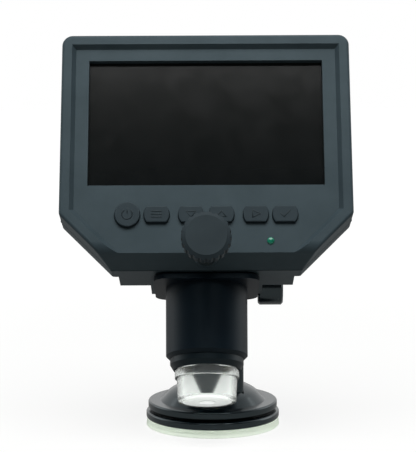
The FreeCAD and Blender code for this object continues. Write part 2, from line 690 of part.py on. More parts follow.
def front_shell():
    """Front half of the case, with the sunk panel, the chin and all openings."""
    body = new_body("front_shell")
    sketch = new_sketch(body, "XZ_Plane", (0, 0, parting_reach))
    add_outline(sketch, case_outline(0, case_bottom))
    pad(body, sketch, front_reach - parting_reach)
    round_case(body)

    chin = new_sketch(body, "YZ_Plane", (0, 0, -half_width - 1))
    add_outline(chin, [
        (-front_reach, bend_rise),
        (-parting_reach, case_bottom),
        (-parting_reach, case_bottom - 2),
        (-front_reach - 2, case_bottom - 2),
        (-front_reach - 2, bend_rise),
    ])
    cut(body, chin, case_width + 2)
    dress(body, "Fillet", bend_round,
          lambda edge: runs_along(edge, "x") and near(edge.CenterOfMass.z, bend_rise))
    dress(body, "Fillet", edge_round,
          lambda edge: near(edge.BoundBox.YMax, -front_reach) and not runs_along(edge, "x")
          or near(edge.BoundBox.YMax, -front_reach) and near(edge.CenterOfMass.z, case_top))

    recess = new_sketch(body, "XZ_Plane", (0, 0, front_reach))
    add_outline(recess, case_outline(recess_border, case_bottom - 2))
    cut(body, recess, recess_depth, slope=recess_slope)

    hollow = new_sketch(body, "XZ_Plane", (0, 0, parting_reach - 1))
    add_outline(hollow, case_outline(shell_wall, chin_fill))
    cut(body, hollow, inner_reach - parting_reach + 1)

    posts = new_sketch(body, "XZ_Plane", (0, 0, parting_reach))
    for side, rise in case_screws:
        add_circle(posts, side, rise, boss_radius)
    pad(body, posts, inner_reach - parting_reach)
    key_posts = new_sketch(body, "XZ_Plane", (0, 0, board_front))
    for side in (-post_side, post_side):
        add_circle(key_posts, side, post_rise, post_radius)
    pad(body, key_posts, inner_reach - board_front)
    boss = new_sketch(body, "XZ_Plane", (0, 0, bush_back))
    add_circle(boss, 0, focus_rise, bush_boss)
    pad(body, boss, inner_reach - bush_back)

    window = new_sketch(body, "XZ_Plane", (0, 0, inner_reach - 1))
    half = window_width / 2
    add_outline(window, rectangle(-half, half, window_foot, window_top))
    cut(body, window, panel_wall + 2)

    keys = new_sketch(body, "XZ_Plane", (0, 0, inner_reach - 1))
    add_circle(keys, round_button[1], button_rise, button_radius + button_gap)
    for _, side in flat_buttons:
        add_flat_circle(keys, side, button_rise, button_radius + button_gap,
                        button_height / 2 + button_gap)
    cut(body, keys, panel_wall + 2)

    drilled = new_sketch(body, "XZ_Plane", (0, 0, parting_reach - 1))
    add_circle(drilled, lamp_side, lamp_rise, lamp_radius + snug)
    add_circle(drilled, 0, focus_rise, bush_radius + slip)
    cut(body, drilled, front_reach - parting_reach + 2)
    threads = new_sketch(body, "XZ_Plane", (0, 0, parting_reach - 1))
    for side, rise in case_screws:
        add_circle(threads, side, rise, screw_radius + slip)
    cut(body, threads, case_screw_tip - parting_reach + 1 + thread_spare)
    return lean_head(body)


def rear_shell():
    """Rear half of the case: slab, battery hump and optics hump in one moulding."""
    body = new_body("rear_shell")
    slab = new_sketch(body, "XZ_Plane", (0, 0, back_reach))
    add_outline(slab, case_outline(0, case_bottom))
    pad(body, slab, parting_reach - back_reach)
    round_case(body)
    dress(body, "Fillet", edge_round,
          lambda edge: near(edge.BoundBox.YMin, -back_reach) and near(edge.BoundBox.YMax, -back_reach)
          and edge.CenterOfMass.z > case_bottom.value + 1)

    half = hump_width / 2
    hump = new_sketch(body, "XZ_Plane", (0, 0, -hump_back))
    add_outline(hump, rectangle(-half, half, case_bottom, hump_top))
    pad(body, hump, hump_back + back_reach + edge_round)
    dress(body, "Fillet", hump_round,
          lambda edge: runs_along(edge, "y") and near(edge.BoundBox.YMax, hump_back)
          and near(edge.CenterOfMass.z, hump_top))

    optics_half = optics_width / 2
    optics = new_sketch(body, "XZ_Plane", (0, 0, -optics_back))
    add_outline(optics, rectangle(-optics_half, optics_half, case_bottom, optics_top))
    pad(body, optics, optics_back - hump_back + shell_wall)
    dress(body, "Fillet", hump_round,
          lambda edge: runs_along(edge, "y") and near(edge.BoundBox.YMax, optics_back)
          and near(edge.CenterOfMass.z, optics_top))

    floor = case_bottom + shell_wall
    for offset, corners, length in (
        (slab_inside, case_outline(shell_wall, floor), parting_reach - slab_inside + 1),
        (shell_wall - hump_back,
         rectangle(shell_wall - half, half - shell_wall, floor, hump_top - shell_wall),
         hump_back + back_reach),
        (shell_wall - optics_back,
         rectangle(shell_wall - optics_half, optics_half - shell_wall, floor, optics_top - shell_wall),
         optics_back),
    ):
        hollow = new_sketch(body, "XZ_Plane", (0, 0, offset))
        add_outline(hollow, corners)
        cut(body, hollow, length)

    posts = new_sketch(body, "XZ_Plane", (0, 0, slab_inside))
    for side, rise in case_screws:
        add_circle(posts, side, rise, boss_radius)
    pad(body, posts, parting_reach - slab_inside)

    throat = new_sketch(body, "XY_Plane", (0, 0, case_bottom - 1))
    add_circle(throat, 0, 0, sleeve_radius + snug)
    cut(body, throat, shell_wall + 2)
    flange_holes = new_sketch(body, "XY_Plane", (0, 0, case_bottom - 1))
    for side, deep in flange_screws:
        add_circle(flange_holes, side, deep, screw_radius + slip)
    cut(body, flange_holes, shell_wall + 2)

    door_half = door_width / 2 + door_gap
    hatch = new_sketch(body, "XZ_Plane", (0, 0, -hump_back - 1))
    add_outline(hatch, rectangle(-door_half, door_half, door_foot - door_gap, hump_top + 1))
    cut(body, hatch, door_thick + door_gap + 1)

    heads = new_sketch(body, "XZ_Plane", (0, 0, back_reach - 1))
    for side, rise in case_screws:
        add_circle(heads, side, rise, screw_head + snug)
    cut(body, heads, screw_head_height + 1)
    holes = new_sketch(body, "XZ_Plane", (0, 0, back_reach - 1))
    for side, rise in case_screws:
        add_circle(holes, side, rise, screw_radius + slip)
    cut(body, holes, parting_reach - back_reach + 2)
    plate_holes = new_sketch(body, "XZ_Plane", (0, 0, -optics_back - 1))
    for side, rise in plate_screws:
        add_circle(plate_holes, side, rise, screw_radius + slip)
    cut(body, plate_holes, shell_wall + 2)

    ports = new_sketch(body, "YZ_Plane", (0, 0, -half_width - 1))
    for rise, wide, high in (
        (charge_rise, charge_width, charge_height),
        (card_rise, card_width, card_height),
    ):
        add_outline(ports, rectangle(-board_back - socket_gap, -board_back + high + socket_gap,
                                     rise - wide / 2 - socket_gap, rise + wide / 2 + socket_gap))
    cut(body, ports, shell_wall + 2)
    return lean_head(body)


def battery_door():
    """Door over the battery, which slides up out of the hump."""
    body = block("battery_door", "XZ_Plane", (0, 0, -hump_back),
                 rectangle(-door_width / 2, door_width / 2, door_foot, hump_top), door_thick)
    return lean_head(body)


def screen_glass():
    side = window_width / 2 + glass_margin
    return lean_head(block("screen_glass", "XZ_Plane", (0, 0, glass_reach),
                           rectangle(-side, side, window_foot - glass_margin, window_top + glass_margin),
                           glass_thick))


def display_module():
    side = window_width / 2 + glass_margin
    return lean_head(block("display_module", "XZ_Plane", (0, 0, board_front),
                           rectangle(-side, side, window_foot - glass_margin, window_top + glass_margin),
                           display_thick))


def main_board():
    return lean_head(block("main_board", "XZ_Plane", (0, 0, board_back),
                           rectangle(-board_side, board_side, board_foot, board_head), board_thick))


def board_chips():
    """Processor, memory and power chips soldered to the back of the main board."""
    half = chip_side / 2
    rear = board_back - chip_height
    chips = []
    for side, rise, wide in (
        (0, board_head - chip_side, half),
        (2 * chip_side, board_head - chip_side, half / 2),
        (2 * chip_side, board_foot + chip_side, half / 2),
    ):
        chips.append(brick((side - wide, -board_back, rise - half), (side + wide, -rear, rise + half)))
    return lean_head(group("board_chips", chips))


def key_board():
    return lean_head(block("key_board", "XZ_Plane", (0, 0, board_back),
                           rectangle(-key_board_side, key_board_side, key_board_foot, key_board_head),
                           board_thick))


def key_switches():
    """One press switch on the key board behind each button."""
    half = switch_width / 2
    switches = []
    for _, side in [round_button] + flat_buttons:
        switches.append(brick((side - half, -board_front - switch_height, button_rise - half),
                              (side + half, -board_front, button_rise + half)))
    return lean_head(group("key_switches", switches))


def indicator_lamp():
    """Charging lamp on the key board, looking out through the panel."""
    length = panel_reach - board_front + lamp_proud
    lamp = rod(lamp_radius, length, (lamp_side, -board_front, lamp_rise), "forward")
    return lean_head(group("indicator_lamp", [lamp]))


def charging_socket():
    mouth = -half_width + socket_inset
    half = charge_width / 2
    socket = brick((mouth, -board_back, charge_rise - half),
                   (mouth + charge_length, -board_back + charge_height, charge_rise + half))
    return lean_head(group("charging_socket", [socket]))


def card_socket():
    mouth = -half_width + socket_inset
    half = card_width / 2
    socket = brick((mouth, -board_back, card_rise - half),
                   (mouth + card_length, -board_back + card_height, card_rise + half))
    return lean_head(group("card_socket", [socket]))


def battery_cell():
    """Round cell lying across the battery hump."""
    cell = rod(battery_radius, battery_length,
               (-battery_length / 2, -battery_reach, battery_rise), "x")
    return lean_head(group("battery_cell", [cell]))


def battery_contacts():
    """Spring plates between the ends of the cell and the walls of the hump."""
    wall = hump_width / 2 - shell_wall
    half = contact_size / 2
    plates = []
    for left, right in ((-wall, -battery_length / 2), (battery_length / 2, wall)):
        plates.append(brick((left, -battery_reach - half, battery_rise - half),
                            (right, -battery_reach + half, battery_rise + half)))
    return lean_head(group("battery_contacts", plates))


def sensor_board():
    side = sensor_board_side
    return lean_head(block("sensor_board", "XY_Plane", (0, 0, sleeve_top),
                           rectangle(-side, side, -side, side), board_thick))


def image_sensor():
    half = sensor_side / 2
    return lean_head(block("image_sensor", "XY_Plane", (0, 0, sleeve_top - sensor_height),
                           rectangle(-half, half, -half, half), sensor_height))


def lens_tube():
    """Flange, tube and the sleeve inside the case, moulded in one."""
    body = new_body("lens_tube")
    flange = new_sketch(body, "XY_Plane")
    half = flange_width / 2
    add_outline(flange, rectangle(-half, half, -flange_front, flange_rear))
    pad(body, flange, case_bottom)
    dress(body, "Fillet", flange_round, lambda edge: runs_along(edge, "z"))
    dress(body, "Chamfer", flange_bevel, lambda edge: near(edge.BoundBox.ZMin, case_bottom))
    outer = new_sketch(body, "XZ_Plane")
    add_outline(outer, [
        (0, sleeve_top),
        (sleeve_radius, sleeve_top),
        (sleeve_radius, case_bottom / 2),
        (tube_radius, case_bottom / 2),
        (tube_radius, 0),
        (tube_radius - tube_taper, tube_bevel - tube_length),
        (tube_radius - tube_taper - tube_bevel, -tube_length),
        (0, -tube_length),
    ])
    spin(body, outer, "V_Axis")
    bore = new_sketch(body, "XZ_Plane")
    add_outline(bore, [
        (0, sleeve_top + 1),
        (bore_radius, sleeve_top + 1),
        (bore_radius, guide_ledge),
        (seat_radius, guide_ledge),
        (seat_radius, -tube_length - 1),
        (0, -tube_length - 1),
    ])
    groove(body, bore, "V_Axis")
    shaft = new_sketch(body, "XZ_Plane")
    add_circle(shaft, 0, focus_rise, shaft_radius + snug)
    cut(body, shaft, sleeve_radius + 1)
    threads = new_sketch(body, "XY_Plane", (0, 0, flange_screw_tip - snug))
    for side, deep in flange_screws:
        add_circle(threads, side, deep, screw_radius + slip)
    cut(body, threads, case_bottom)
    return lean_head(body)


def lens_guide():
    """Smooth sleeve that the lens carrier slides in, seated on a ledge of the tube."""
    return lean_head(turned_up("lens_guide", [
        (guide_bore, -guide_drop),
        (bore_radius - snug, -guide_drop),
        (bore_radius - snug, guide_ledge),
        (seat_radius - snug, guide_ledge),
        (seat_radius - snug, guide_end),
        (guide_bore, guide_end),
    ]))


def end_ring():
    """Ring screwed into the end of the tube, which holds guide, lights and cap."""
    return lean_head(turned_up("end_ring", [
        (bore_radius, guide_end),
        (seat_radius - snug, guide_end),
        (seat_radius - snug, ring_top),
        (ring_radius, ring_top),
        (ring_radius, ring_top - ring_straight),
        (ring_narrow, ring_end),
        (bore_radius, ring_end),
    ]))


def light_board():
    return lean_head(turned_up("light_board", [
        (light_hole, guide_end),
        (bore_radius - snug, guide_end),
        (bore_radius - snug, light_face),
        (light_hole, light_face),
    ]))


def ring_lights():
    """Small white lights in a circle under their board."""
    lights = []
    for index in range(light_count):
        angle = math.radians(360 * (index + 0.5) / light_count)
        lights.append(rod(light_radius, light_height, (light_circle * math.cos(angle),
                                                       light_circle * math.sin(angle),
                                                       light_face - light_height)))
    return lean_head(group("ring_lights", lights))


def clear_cap():
    """Clear cap with a collar, a neck pushed into the ring and a viewing hole."""
    neck = bore_radius - snug
    inside = cap_radius - cap_wall
    body = turned_up("clear_cap", [
        (neck - cap_neck_wall, ring_end + cap_neck),
        (neck, ring_end + cap_neck),
        (neck, ring_end),
        (cap_flange, ring_end),
        (cap_flange, collar_end),
        (cap_radius, collar_end),
        (cap_radius - cap_taper, cap_end),
        (cap_hole, cap_end),
        (cap_hole, cap_end + cap_wall),
        (inside - cap_taper, cap_end + cap_wall),
        (inside, collar_end + cap_ledge),
        (neck - cap_neck_wall, collar_end + cap_ledge),
    ])
    dress(body, "Fillet", cap_round,
          lambda edge: is_ring(edge, cap_radius - cap_taper, cap_end))
    return lean_head(body)


def lens_carrier():
    return lean_head(turned_up("lens_carrier", [
        (carrier_bore, -carrier_top),
        (carrier_radius, -carrier_top),
        (carrier_radius, -carrier_end),
        (carrier_bore, -carrier_end),
    ]))


def lens_nose():
    """Nose screwed into the carrier, a tube that ends in a cone round the front lens."""
    thread = -carrier_end + nose_thread
    barrel = nose_radius - nose_wall
    return lean_head(turned_up("lens_nose", [
        (barrel, thread),
        (carrier_bore - slip, thread),
        (carrier_bore - slip, -carrier_end),
        (nose_radius, -carrier_end),
        (nose_radius, nose_start),
        (nose_tip, nose_end),
        (tip_hole, nose_end),
        (tip_hole, nose_end + front_lens_thick + tip_rim * 2),
        (barrel, nose_start + nose_wall),
    ]))


def objective_lenses():
    """Rear lens and front lens in the nose."""
    top = -carrier_end
    rear = rod(nose_radius - nose_wall - slip, rear_lens_thick, (0, 0, top - rear_lens_thick))
    front = rod(tip_hole - slip, front_lens_thick, (0, 0, nose_end + tip_rim))
    return lean_head(group("objective_lenses", [rear, front]))


def focus_rack():
    """Toothed rack that stands on the carrier beside the pinion."""
    tip = pinion_radius + rack_gap
    root = tip + tooth_depth
    body = block("focus_rack", "XZ_Plane", (0, 0, pinion_near),
                 rectangle(root, tip + rack_thick, -carrier_top, rack_top), pinion_width)
    pitch = tooth_pitch()
    tooth = new_sketch(body, "XZ_Plane", (0, 0, pinion_near))
    low = -carrier_top
    add_outline(tooth, [
        (root + tooth_root, low + pitch * 0.2),
        (tip, low + pitch * 0.4),
        (tip, low + pitch * 0.6),
        (root + tooth_root, low + pitch * 0.8),
    ])
    first = pad(body, tooth, pinion_width)
    run = rack_top + carrier_top
    count = int(run.value / pitch.value)
    pattern = body.newObject("PartDesign::LinearPattern", "focus_rack_pattern")
    pattern.Originals = [first]
    pattern.Direction = (tooth, ["V_Axis"])
    pattern.Length = bind(pattern, "Length", pitch * (count - 1))
    pattern.Occurrences = count
    body.Tip = pattern
    finish_feature(pattern)
    return lean_head(body)


def tooth_pitch():
    """Spacing of the teeth, the same on pinion and rack."""
    return (pinion_radius - tooth_depth / 2) * (2 * math.pi / pinion_teeth)


def focus_pinion():
    """Small gear on the inner end of the focus shaft."""
    body = new_body("focus_pinion")
    root = new_sketch(body, "XZ_Plane", (0, focus_rise, pinion_near))
    add_circle(root, 0, 0, pinion_radius - tooth_depth)
    add_circle(root, 0, 0, shaft_radius)
    pad(body, root, pinion_width)
    tooth = new_sketch(body, "XZ_Plane", (0, focus_rise, pinion_near))
    half = tooth_pitch() / 2
    low = pinion_radius - tooth_depth - tooth_root
    add_outline(tooth, [
        (low, half * -0.6),
        (pinion_radius, half * -0.2),
        (pinion_radius, half * 0.2),
        (low, half * 0.6),
    ])
    first = pad(body, tooth, pinion_width)
    repeat_round(body, first, tooth, pinion_teeth)
    return lean_head(body)


def focus_shaft():
    shaft = rod(shaft_radius, knob_back + knob_socket - pinion_near,
                (0, -pinion_near, focus_rise), "forward")
    return lean_head(group("focus_shaft", [shaft]))


def shaft_bush():
    """Plain bearing of the focus shaft in the chin."""
    body = new_body("shaft_bush")
    sketch = new_sketch(body, "XZ_Plane", (0, focus_rise, bush_back))
    add_circle(sketch, 0, 0, bush_radius)
    add_circle(sketch, 0, 0, shaft_radius + slip)
    pad(body, sketch, panel_reach - bush_back)
    return lean_head(body)


def focus_knob():
    """Ribbed knob on a hub, pressed on the focus shaft."""
    body = new_body("focus_knob")
    sketch = new_sketch(body, "XY_Plane", (0, 0, focus_rise))
    hub_end = panel_reach + knob_clear
    add_outline(sketch, [
        (shaft_radius, -hub_end),
        (knob_hub, -hub_end),
        (knob_hub, -knob_back),
        (knob_radius - knob_back_bevel, -knob_back),
        (knob_radius, -knob_back - knob_back_bevel),
        (knob_radius, knob_bevel - knob_reach),
        (knob_face, -knob_reach),
        (0, -knob_reach),
        (0, -knob_back - knob_socket),
        (shaft_radius, -knob_back - knob_socket),
    ])
    spin(body, sketch, "V_Axis")
    rib = new_sketch(body, "XZ_Plane", (0, focus_rise, knob_back - 1))
    add_circle(rib, 0, knob_radius + rib_groove / 3, rib_groove)
    first = cut(body, rib, knob_thick + 2)
    repeat_round(body, first, rib, knob_ribs)
    return lean_head(body)


def button(name, side, half_height=None):
    """A button with its retaining lip and the stem that meets its switch."""
    body = new_body(name)
    stem_end = board_front + switch_height + button_travel + slip
    lip_back = inner_reach - snug - button_flange
    stem = new_sketch(body, "XZ_Plane", (0, 0, stem_end))
    add_circle(stem, side, button_rise, button_stem)
    pad(body, stem, lip_back - stem_end + button_flange / 2)
    lip = new_sketch(body, "XZ_Plane", (0, 0, lip_back))
    cap = new_sketch(body, "XZ_Plane", (0, 0, lip_back))
    if half_height is None:
        add_circle(lip, side, button_rise, button_radius + button_lip)
        add_circle(cap, side, button_rise, button_radius)
    else:
        add_flat_circle(lip, side, button_rise, button_radius + button_lip, half_height + button_lip)
        add_flat_circle(cap, side, button_rise, button_radius, half_height)
    pad(body, lip, button_flange)
    face = panel_reach + button_proud
    pad(body, cap, face - lip_back)
    dress(body, "Fillet", button_edge, lambda edge: near(edge.BoundBox.YMax, -face, 0.01))
    return lean_head(body)


def case_screw_set():
    """Four screws that clamp the shells together from the back."""
    screws = []
    for side, rise in case_screws:
        head = rod(screw_head, screw_head_height, (side, -back_reach, rise), "forward")
        shank = rod(screw_radius, case_screw_tip - back_reach, (side, -back_reach, rise), "forward")
        screws.append(join([head, shank]))
    return lean_head(group("case_screws", screws))


def flange_screw_set():
    """Four screws from inside the case into the flange of the lens tube."""
    floor = case_bottom + shell_wall
    screws = []
    for side, deep in flange_screws:
        head = rod(screw_head, screw_head_height, (side, deep, floor))
        shank = rod(screw_radius, floor - flange_screw_tip, (side, deep, flange_screw_tip))
        screws.append(join([head, shank]))
    return lean_head(group("flange_screws", screws))


def hinge_bracket():
    """Plate on the optics hump with the lug that turns between the ears of the arm."""
    half = plate_width / 2
    body = block("hinge_bracket", "XZ_Plane", (0, 0, -optics_back - plate_thick),
                 rectangle(stand_shift - half, stand_shift + half, plate_foot, plate_head), plate_thick)
    start = stand_shift - lug_width / 2
    web = new_sketch(body, "YZ_Plane", (0, 0, start))
    add_outline(web, [
        (optics_back, pivot_up - lug_radius),
        (pivot_back, pivot_up - lug_radius),
        (pivot_back + lug_radius * cosine(gusset), pivot_up + lug_radius * sine(gusset)),
        (optics_back + plate_thick, plate_foot + gusset_rise),
        (optics_back, plate_foot + gusset_rise),
    ])
    pad(body, web, lug_width)
    eye = new_sketch(body, "YZ_Plane", (0, 0, start))
    add_circle(eye, pivot_back, pivot_up, lug_radius)
    pad(body, eye, lug_width)
    bore = new_sketch(body, "YZ_Plane", (0, 0, start - 1))
    add_circle(bore, pivot_back, pivot_up, bolt_radius + slip)
    cut(body, bore, lug_width + 2)
    holes = new_sketch(body, "XZ_Plane", (0, 0, -optics_back - plate_thick - 1))
    for side, rise in plate_screws:
        add_circle(holes, side, rise, screw_radius + slip)
    cut(body, holes, plate_thick + 2)
    return lean_head(body)


def bracket_screws():
    """Four screws that hold the bracket to the optics hump."""
    back = optics_back + plate_thick
    screws = []
    for side, rise in plate_screws:
        head = rod(screw_head, screw_head_height, (side, back + screw_head_height, rise), "forward")
        shank = rod(screw_radius, plate_thick + plate_screw_grip + screw_root,
                    (side, back + screw_root, rise), "forward")
        screws.append(join([head, shank]))
    return lean_head(group("bracket_screws", screws))


def arm():
    """Arm from the foot up behind the tube, with a fork for the head's lug."""
    half = arm_deep / 2
    front_top = hinge_back - arm_head
    body = block("arm", "YZ_Plane", (0, 0, -ear_side), [
        (-half, arm_seat),
        (half, arm_seat),
        (half, arm_knee),
        (hinge_back + arm_head, hinge_rise),
        (front_top, hinge_rise),
        (-half, arm_knee),
    ], arm_width)
    ears = new_sketch(body, "YZ_Plane", (0, 0, -ear_side))
    add_circle(ears, hinge_back, hinge_rise, arm_head)
    pad(body, ears, arm_width)
    dress(body, "Fillet", arm_round,
          lambda edge: near(edge.BoundBox.XLength, 0) and not near(edge.BoundBox.ZMax, arm_seat))
    slot = new_sketch(body, "XZ_Plane", (0, 0, -hinge_back - 2 * arm_head))
    gap = lug_width / 2 + fork_gap
    add_outline(slot, rectangle(-gap, gap, hinge_rise - arm_slot, hinge_rise + 2 * arm_head))
    cut(body, slot, 4 * arm_head)
    bore = new_sketch(body, "YZ_Plane", (0, 0, -ear_side - 1))
    add_circle(bore, hinge_back, hinge_rise, bolt_radius)
    cut(body, bore, arm_width + 2)
    threads = new_sketch(body, "XY_Plane", (0, 0, arm_seat - 1))
    for side in (-foot_screw_side, foot_screw_side):
        add_circle(threads, side, 0, foot_screw_radius + slip)
    cut(body, threads, foot_screw_grip + 1 + thread_spare)
    return body


def hinge_bolt():
    """Bolt through ears and lug, with the lock knob on its thread."""
    start = -ear_side - nut_thick
    bolt = rod(bolt_radius, lock_start + lock_bore - start, (start, hinge_back, hinge_rise), "x")
    return group("hinge_bolt", [bolt])


def hexagon(x, y, across):
    """Corners of a hexagon with its flats upright in the sketch."""
    corner = across / math.sqrt(3)
    points = []
    for index in range(6):
        angle = math.radians(60 * index + 30)
        points.append((x + corner * math.cos(angle), y + corner * math.sin(angle)))
    return points


def hinge_nut():
    body = block("hinge_nut", "YZ_Plane", (0, 0, -ear_side - nut_thick),
                 hexagon(hinge_back, hinge_rise, nut_width), nut_thick)
    bore = new_sketch(body, "YZ_Plane", (0, 0, -ear_side - nut_thick - 1))
    add_circle(bore, hinge_back, hinge_rise, bolt_radius)
    cut(body, bore, nut_thick + 2)
    return body


def hinge_washer():
    body = new_body("hinge_washer")
    sketch = new_sketch(body, "YZ_Plane", (0, 0, ear_side))
    add_circle(sketch, hinge_back, hinge_rise, washer_radius)
    add_circle(sketch, hinge_back, hinge_rise, bolt_radius)
    pad(body, sketch, washer_thick)
    return body


def lock_knob():
    """Knob on the end of the hinge bolt that clamps the lean of the head."""
    start = ear_side + washer_thick + snug
    body = new_body("lock_knob")
    sketch = new_sketch(body, "XY_Plane", (0, hinge_back, hinge_rise))
    add_outline(sketch, [
        (start, bolt_radius + slip),
        (start, lock_neck),
        (lock_start, lock_neck),
        (lock_start, lock_radius - lock_bevel),
        (lock_start + lock_bevel, lock_radius),
        (lock_end - lock_bevel, lock_radius),
        (lock_end, lock_radius - lock_bevel),
        (lock_end, 0),
        (lock_start + lock_bore + snug, 0),
        (lock_start + lock_bore + snug, bolt_radius + slip),
    ])
    spin(body, sketch, "H_Axis")
    return body


def foot():
    """Rim and dome of the foot, hollow in the middle for the stem of the pad."""
    cavity = stem_disc + stem_clear
    body = turned_up("foot", [
        (cavity, pad_top),
        (foot_hub, pad_top),
        (foot_hub, foot_low),
        (foot_radius, foot_low),
        (foot_radius, foot_high),
        (dome_radius, foot_high),
        (dome_shoulder, foot_high + shoulder_rise),
        (dome_top, foot_high + dome_rise),
        (cavity, foot_high + dome_rise),
        (cavity, web_high),
        (stem_radius + snug, web_high),
        (stem_radius + snug, web_low),
        (cavity, web_low),
    ])
    dress(body, "Fillet", dome_round,
          lambda edge: is_ring(edge, dome_shoulder, foot_high + shoulder_rise))
    dress(body, "Fillet", foot_round,
          lambda edge: is_ring(edge, foot_radius, foot_low) or is_ring(edge, foot_radius, foot_high))
    socket = new_sketch(body, "XY_Plane", (0, 0, arm_seat))
    side = ear_side + slip
    deep = arm_deep / 2 + slip
    add_outline(socket, rectangle(-side, side, -deep, deep))
    cut(body, socket, dome_rise)
    holes = new_sketch(body, "XY_Plane", (0, 0, pad_top - 1))
    heads = new_sketch(body, "XY_Plane", (0, 0, pad_top - 1))
    for x in (-foot_screw_side, foot_screw_side):
        add_circle(holes, x, 0, foot_screw_radius + slip)
        add_circle(heads, x, 0, foot_screw_head + snug)
    cut(body, holes, arm_seat)
    cut(body, heads, 1 + foot_screw_sunk + foot_screw_head_height)
    return body


def arm_screws():
    """Two screws from under the foot up into the arm."""
    low = pad_top + foot_screw_sunk
    screws = []
    for side in (-foot_screw_side, foot_screw_side):
        head = rod(foot_screw_head, foot_screw_head_height, (side, 0, low))
        shank = rod(foot_screw_radius, arm_seat + foot_screw_grip - low, (side, 0, low))
        screws.append(join([head, shank]))
    return group("arm_screws", screws)


def lock_ring():
    """Ring under the foot that is turned to draw the pad tight."""
    body = turned_up("lock_ring", [
        (foot_hub + slip, ring_low),
        (lock_ring_radius, ring_low),
        (lock_ring_radius, ring_low + lock_ring_thick),
        (foot_hub + slip, ring_low + lock_ring_thick),
    ])
    dress(body, "Fillet", foot_round,
          lambda edge: is_ring(edge, lock_ring_radius, ring_low)
          or is_ring(edge, lock_ring_radius, ring_low + lock_ring_thick))
    return body


def suction_pad():
    """Soft clear pad, pressed flat on the table."""
    return turned_up("suction_pad", [
        (0, 0),
        (pad_radius - pad_edge, 0),
        (pad_radius, pad_thick / 2),
        (pad_radius - pad_edge, pad_top),
        (0, pad_top),
    ])


def pad_stem():
    """Stem bonded to the pad, which hangs from the web of the foot."""
    top = arm_seat - snug
    return turned_up("pad_stem", [
        (0, pad_top),
        (stem_disc, pad_top),
        (stem_disc, pad_top + stem_disc_thick),
        (stem_radius, pad_top + stem_disc_thick),
        (stem_radius, top),
        (0, top),
    ])


def stem_nut():
    body = block("stem_nut", "XY_Plane", (0, 0, web_high), hexagon(0, 0, stem_nut_width), stem_nut_thick)
    bore = new_sketch(body, "XY_Plane", (0, 0, web_high - 1))
    add_circle(bore, 0, 0, stem_radius)
    cut(body, bore, stem_nut_thick + 2)
    return body


parts = [
    front_shell(),
    rear_shell(),
    battery_door(),
    screen_glass(),
    display_module(),
    main_board(),
    board_chips(),
    key_board(),
    key_switches(),
    indicator_lamp(),
    charging_socket(),
    card_socket(),
    battery_cell(),
    battery_contacts(),
    sensor_board(),
    image_sensor(),
    lens_tube(),
    lens_guide(),
    end_ring(),
    light_board(),
    ring_lights(),
    clear_cap(),
    lens_carrier(),
    lens_nose(),
    objective_lenses(),
    focus_rack(),
    focus_pinion(),
    focus_shaft(),
    shaft_bush(),
    focus_knob(),
    case_screw_set(),
    flange_screw_set(),
    hinge_bracket(),
    bracket_screws(),
    arm(),
    arm_screws(),
    hinge_bolt(),
    hinge_nut(),
    hinge_washer(),
    lock_knob(),
    foot(),
    lock_ring(),
    suction_pad(),
    pad_stem(),
    stem_nut(),
]
parts.append(button(*round_button))
for name, side in flat_buttons:
    parts.append(button(name, side, button_height / 2))

doc.recompute()
for item in doc.Objects:
    if "Invalid" in item.State or "Error" in item.State:
        raise RuntimeError(f"{item.Name} is not built")
for part in parts:
    if part.Shape.isNull() or not part.Shape.isValid():
        raise RuntimeError(f"{part.Label} has no sound shape")
for part in parts:
    part.Shape.exportStep(f"parts/{part.Label}.step")
print(len(parts), "pieces written")
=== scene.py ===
import json
import math

import bpy
from mathutils import Matrix, Vector


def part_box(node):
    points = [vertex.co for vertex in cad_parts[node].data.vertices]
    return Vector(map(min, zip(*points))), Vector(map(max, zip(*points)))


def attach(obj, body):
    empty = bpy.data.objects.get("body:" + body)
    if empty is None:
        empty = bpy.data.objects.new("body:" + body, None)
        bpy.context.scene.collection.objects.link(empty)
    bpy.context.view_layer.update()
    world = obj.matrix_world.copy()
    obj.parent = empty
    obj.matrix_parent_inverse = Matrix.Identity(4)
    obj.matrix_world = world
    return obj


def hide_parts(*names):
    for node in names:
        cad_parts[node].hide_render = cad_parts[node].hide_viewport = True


# A digital microscope with a flat screen, dressed from the case outwards:
# shells, screen, buttons, knob, tube, clear cap, stand and suction pad.
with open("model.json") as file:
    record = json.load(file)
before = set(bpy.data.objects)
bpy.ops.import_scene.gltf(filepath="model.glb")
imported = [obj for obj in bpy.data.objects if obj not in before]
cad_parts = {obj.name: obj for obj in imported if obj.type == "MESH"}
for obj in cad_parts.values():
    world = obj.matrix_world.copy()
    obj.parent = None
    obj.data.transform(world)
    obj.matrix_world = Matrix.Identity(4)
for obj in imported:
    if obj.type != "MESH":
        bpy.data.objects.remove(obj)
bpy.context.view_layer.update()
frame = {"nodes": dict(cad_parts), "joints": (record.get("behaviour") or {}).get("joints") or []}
nodes = frame["nodes"]
mm = 0.001


# Case shells. The real ones are two injection moulded ABS halves in charcoal
# grey, with a fine spark-eroded texture that keeps them dull face on and lets
# them shine only where the eye grazes them. The door on the back matches them.
mottle_size = 14 * mm
sheen_spread = 0.06
plastic_index = 1.5
# The gloss of every black or grey plastic is a little blue-green
gloss_tint = [0.78, 0.95, 1.0, 1.0]


def linear(hex_colour):
    """An sRGB hex value as the linear colour that a shader socket takes."""
    parts = [int(hex_colour[start:start + 2], 16) / 255 for start in (1, 3, 5)]
    return [part / 12.92 if part <= 0.04045 else ((part + 0.055) / 1.055) ** 2.4
            for part in parts] + [1]


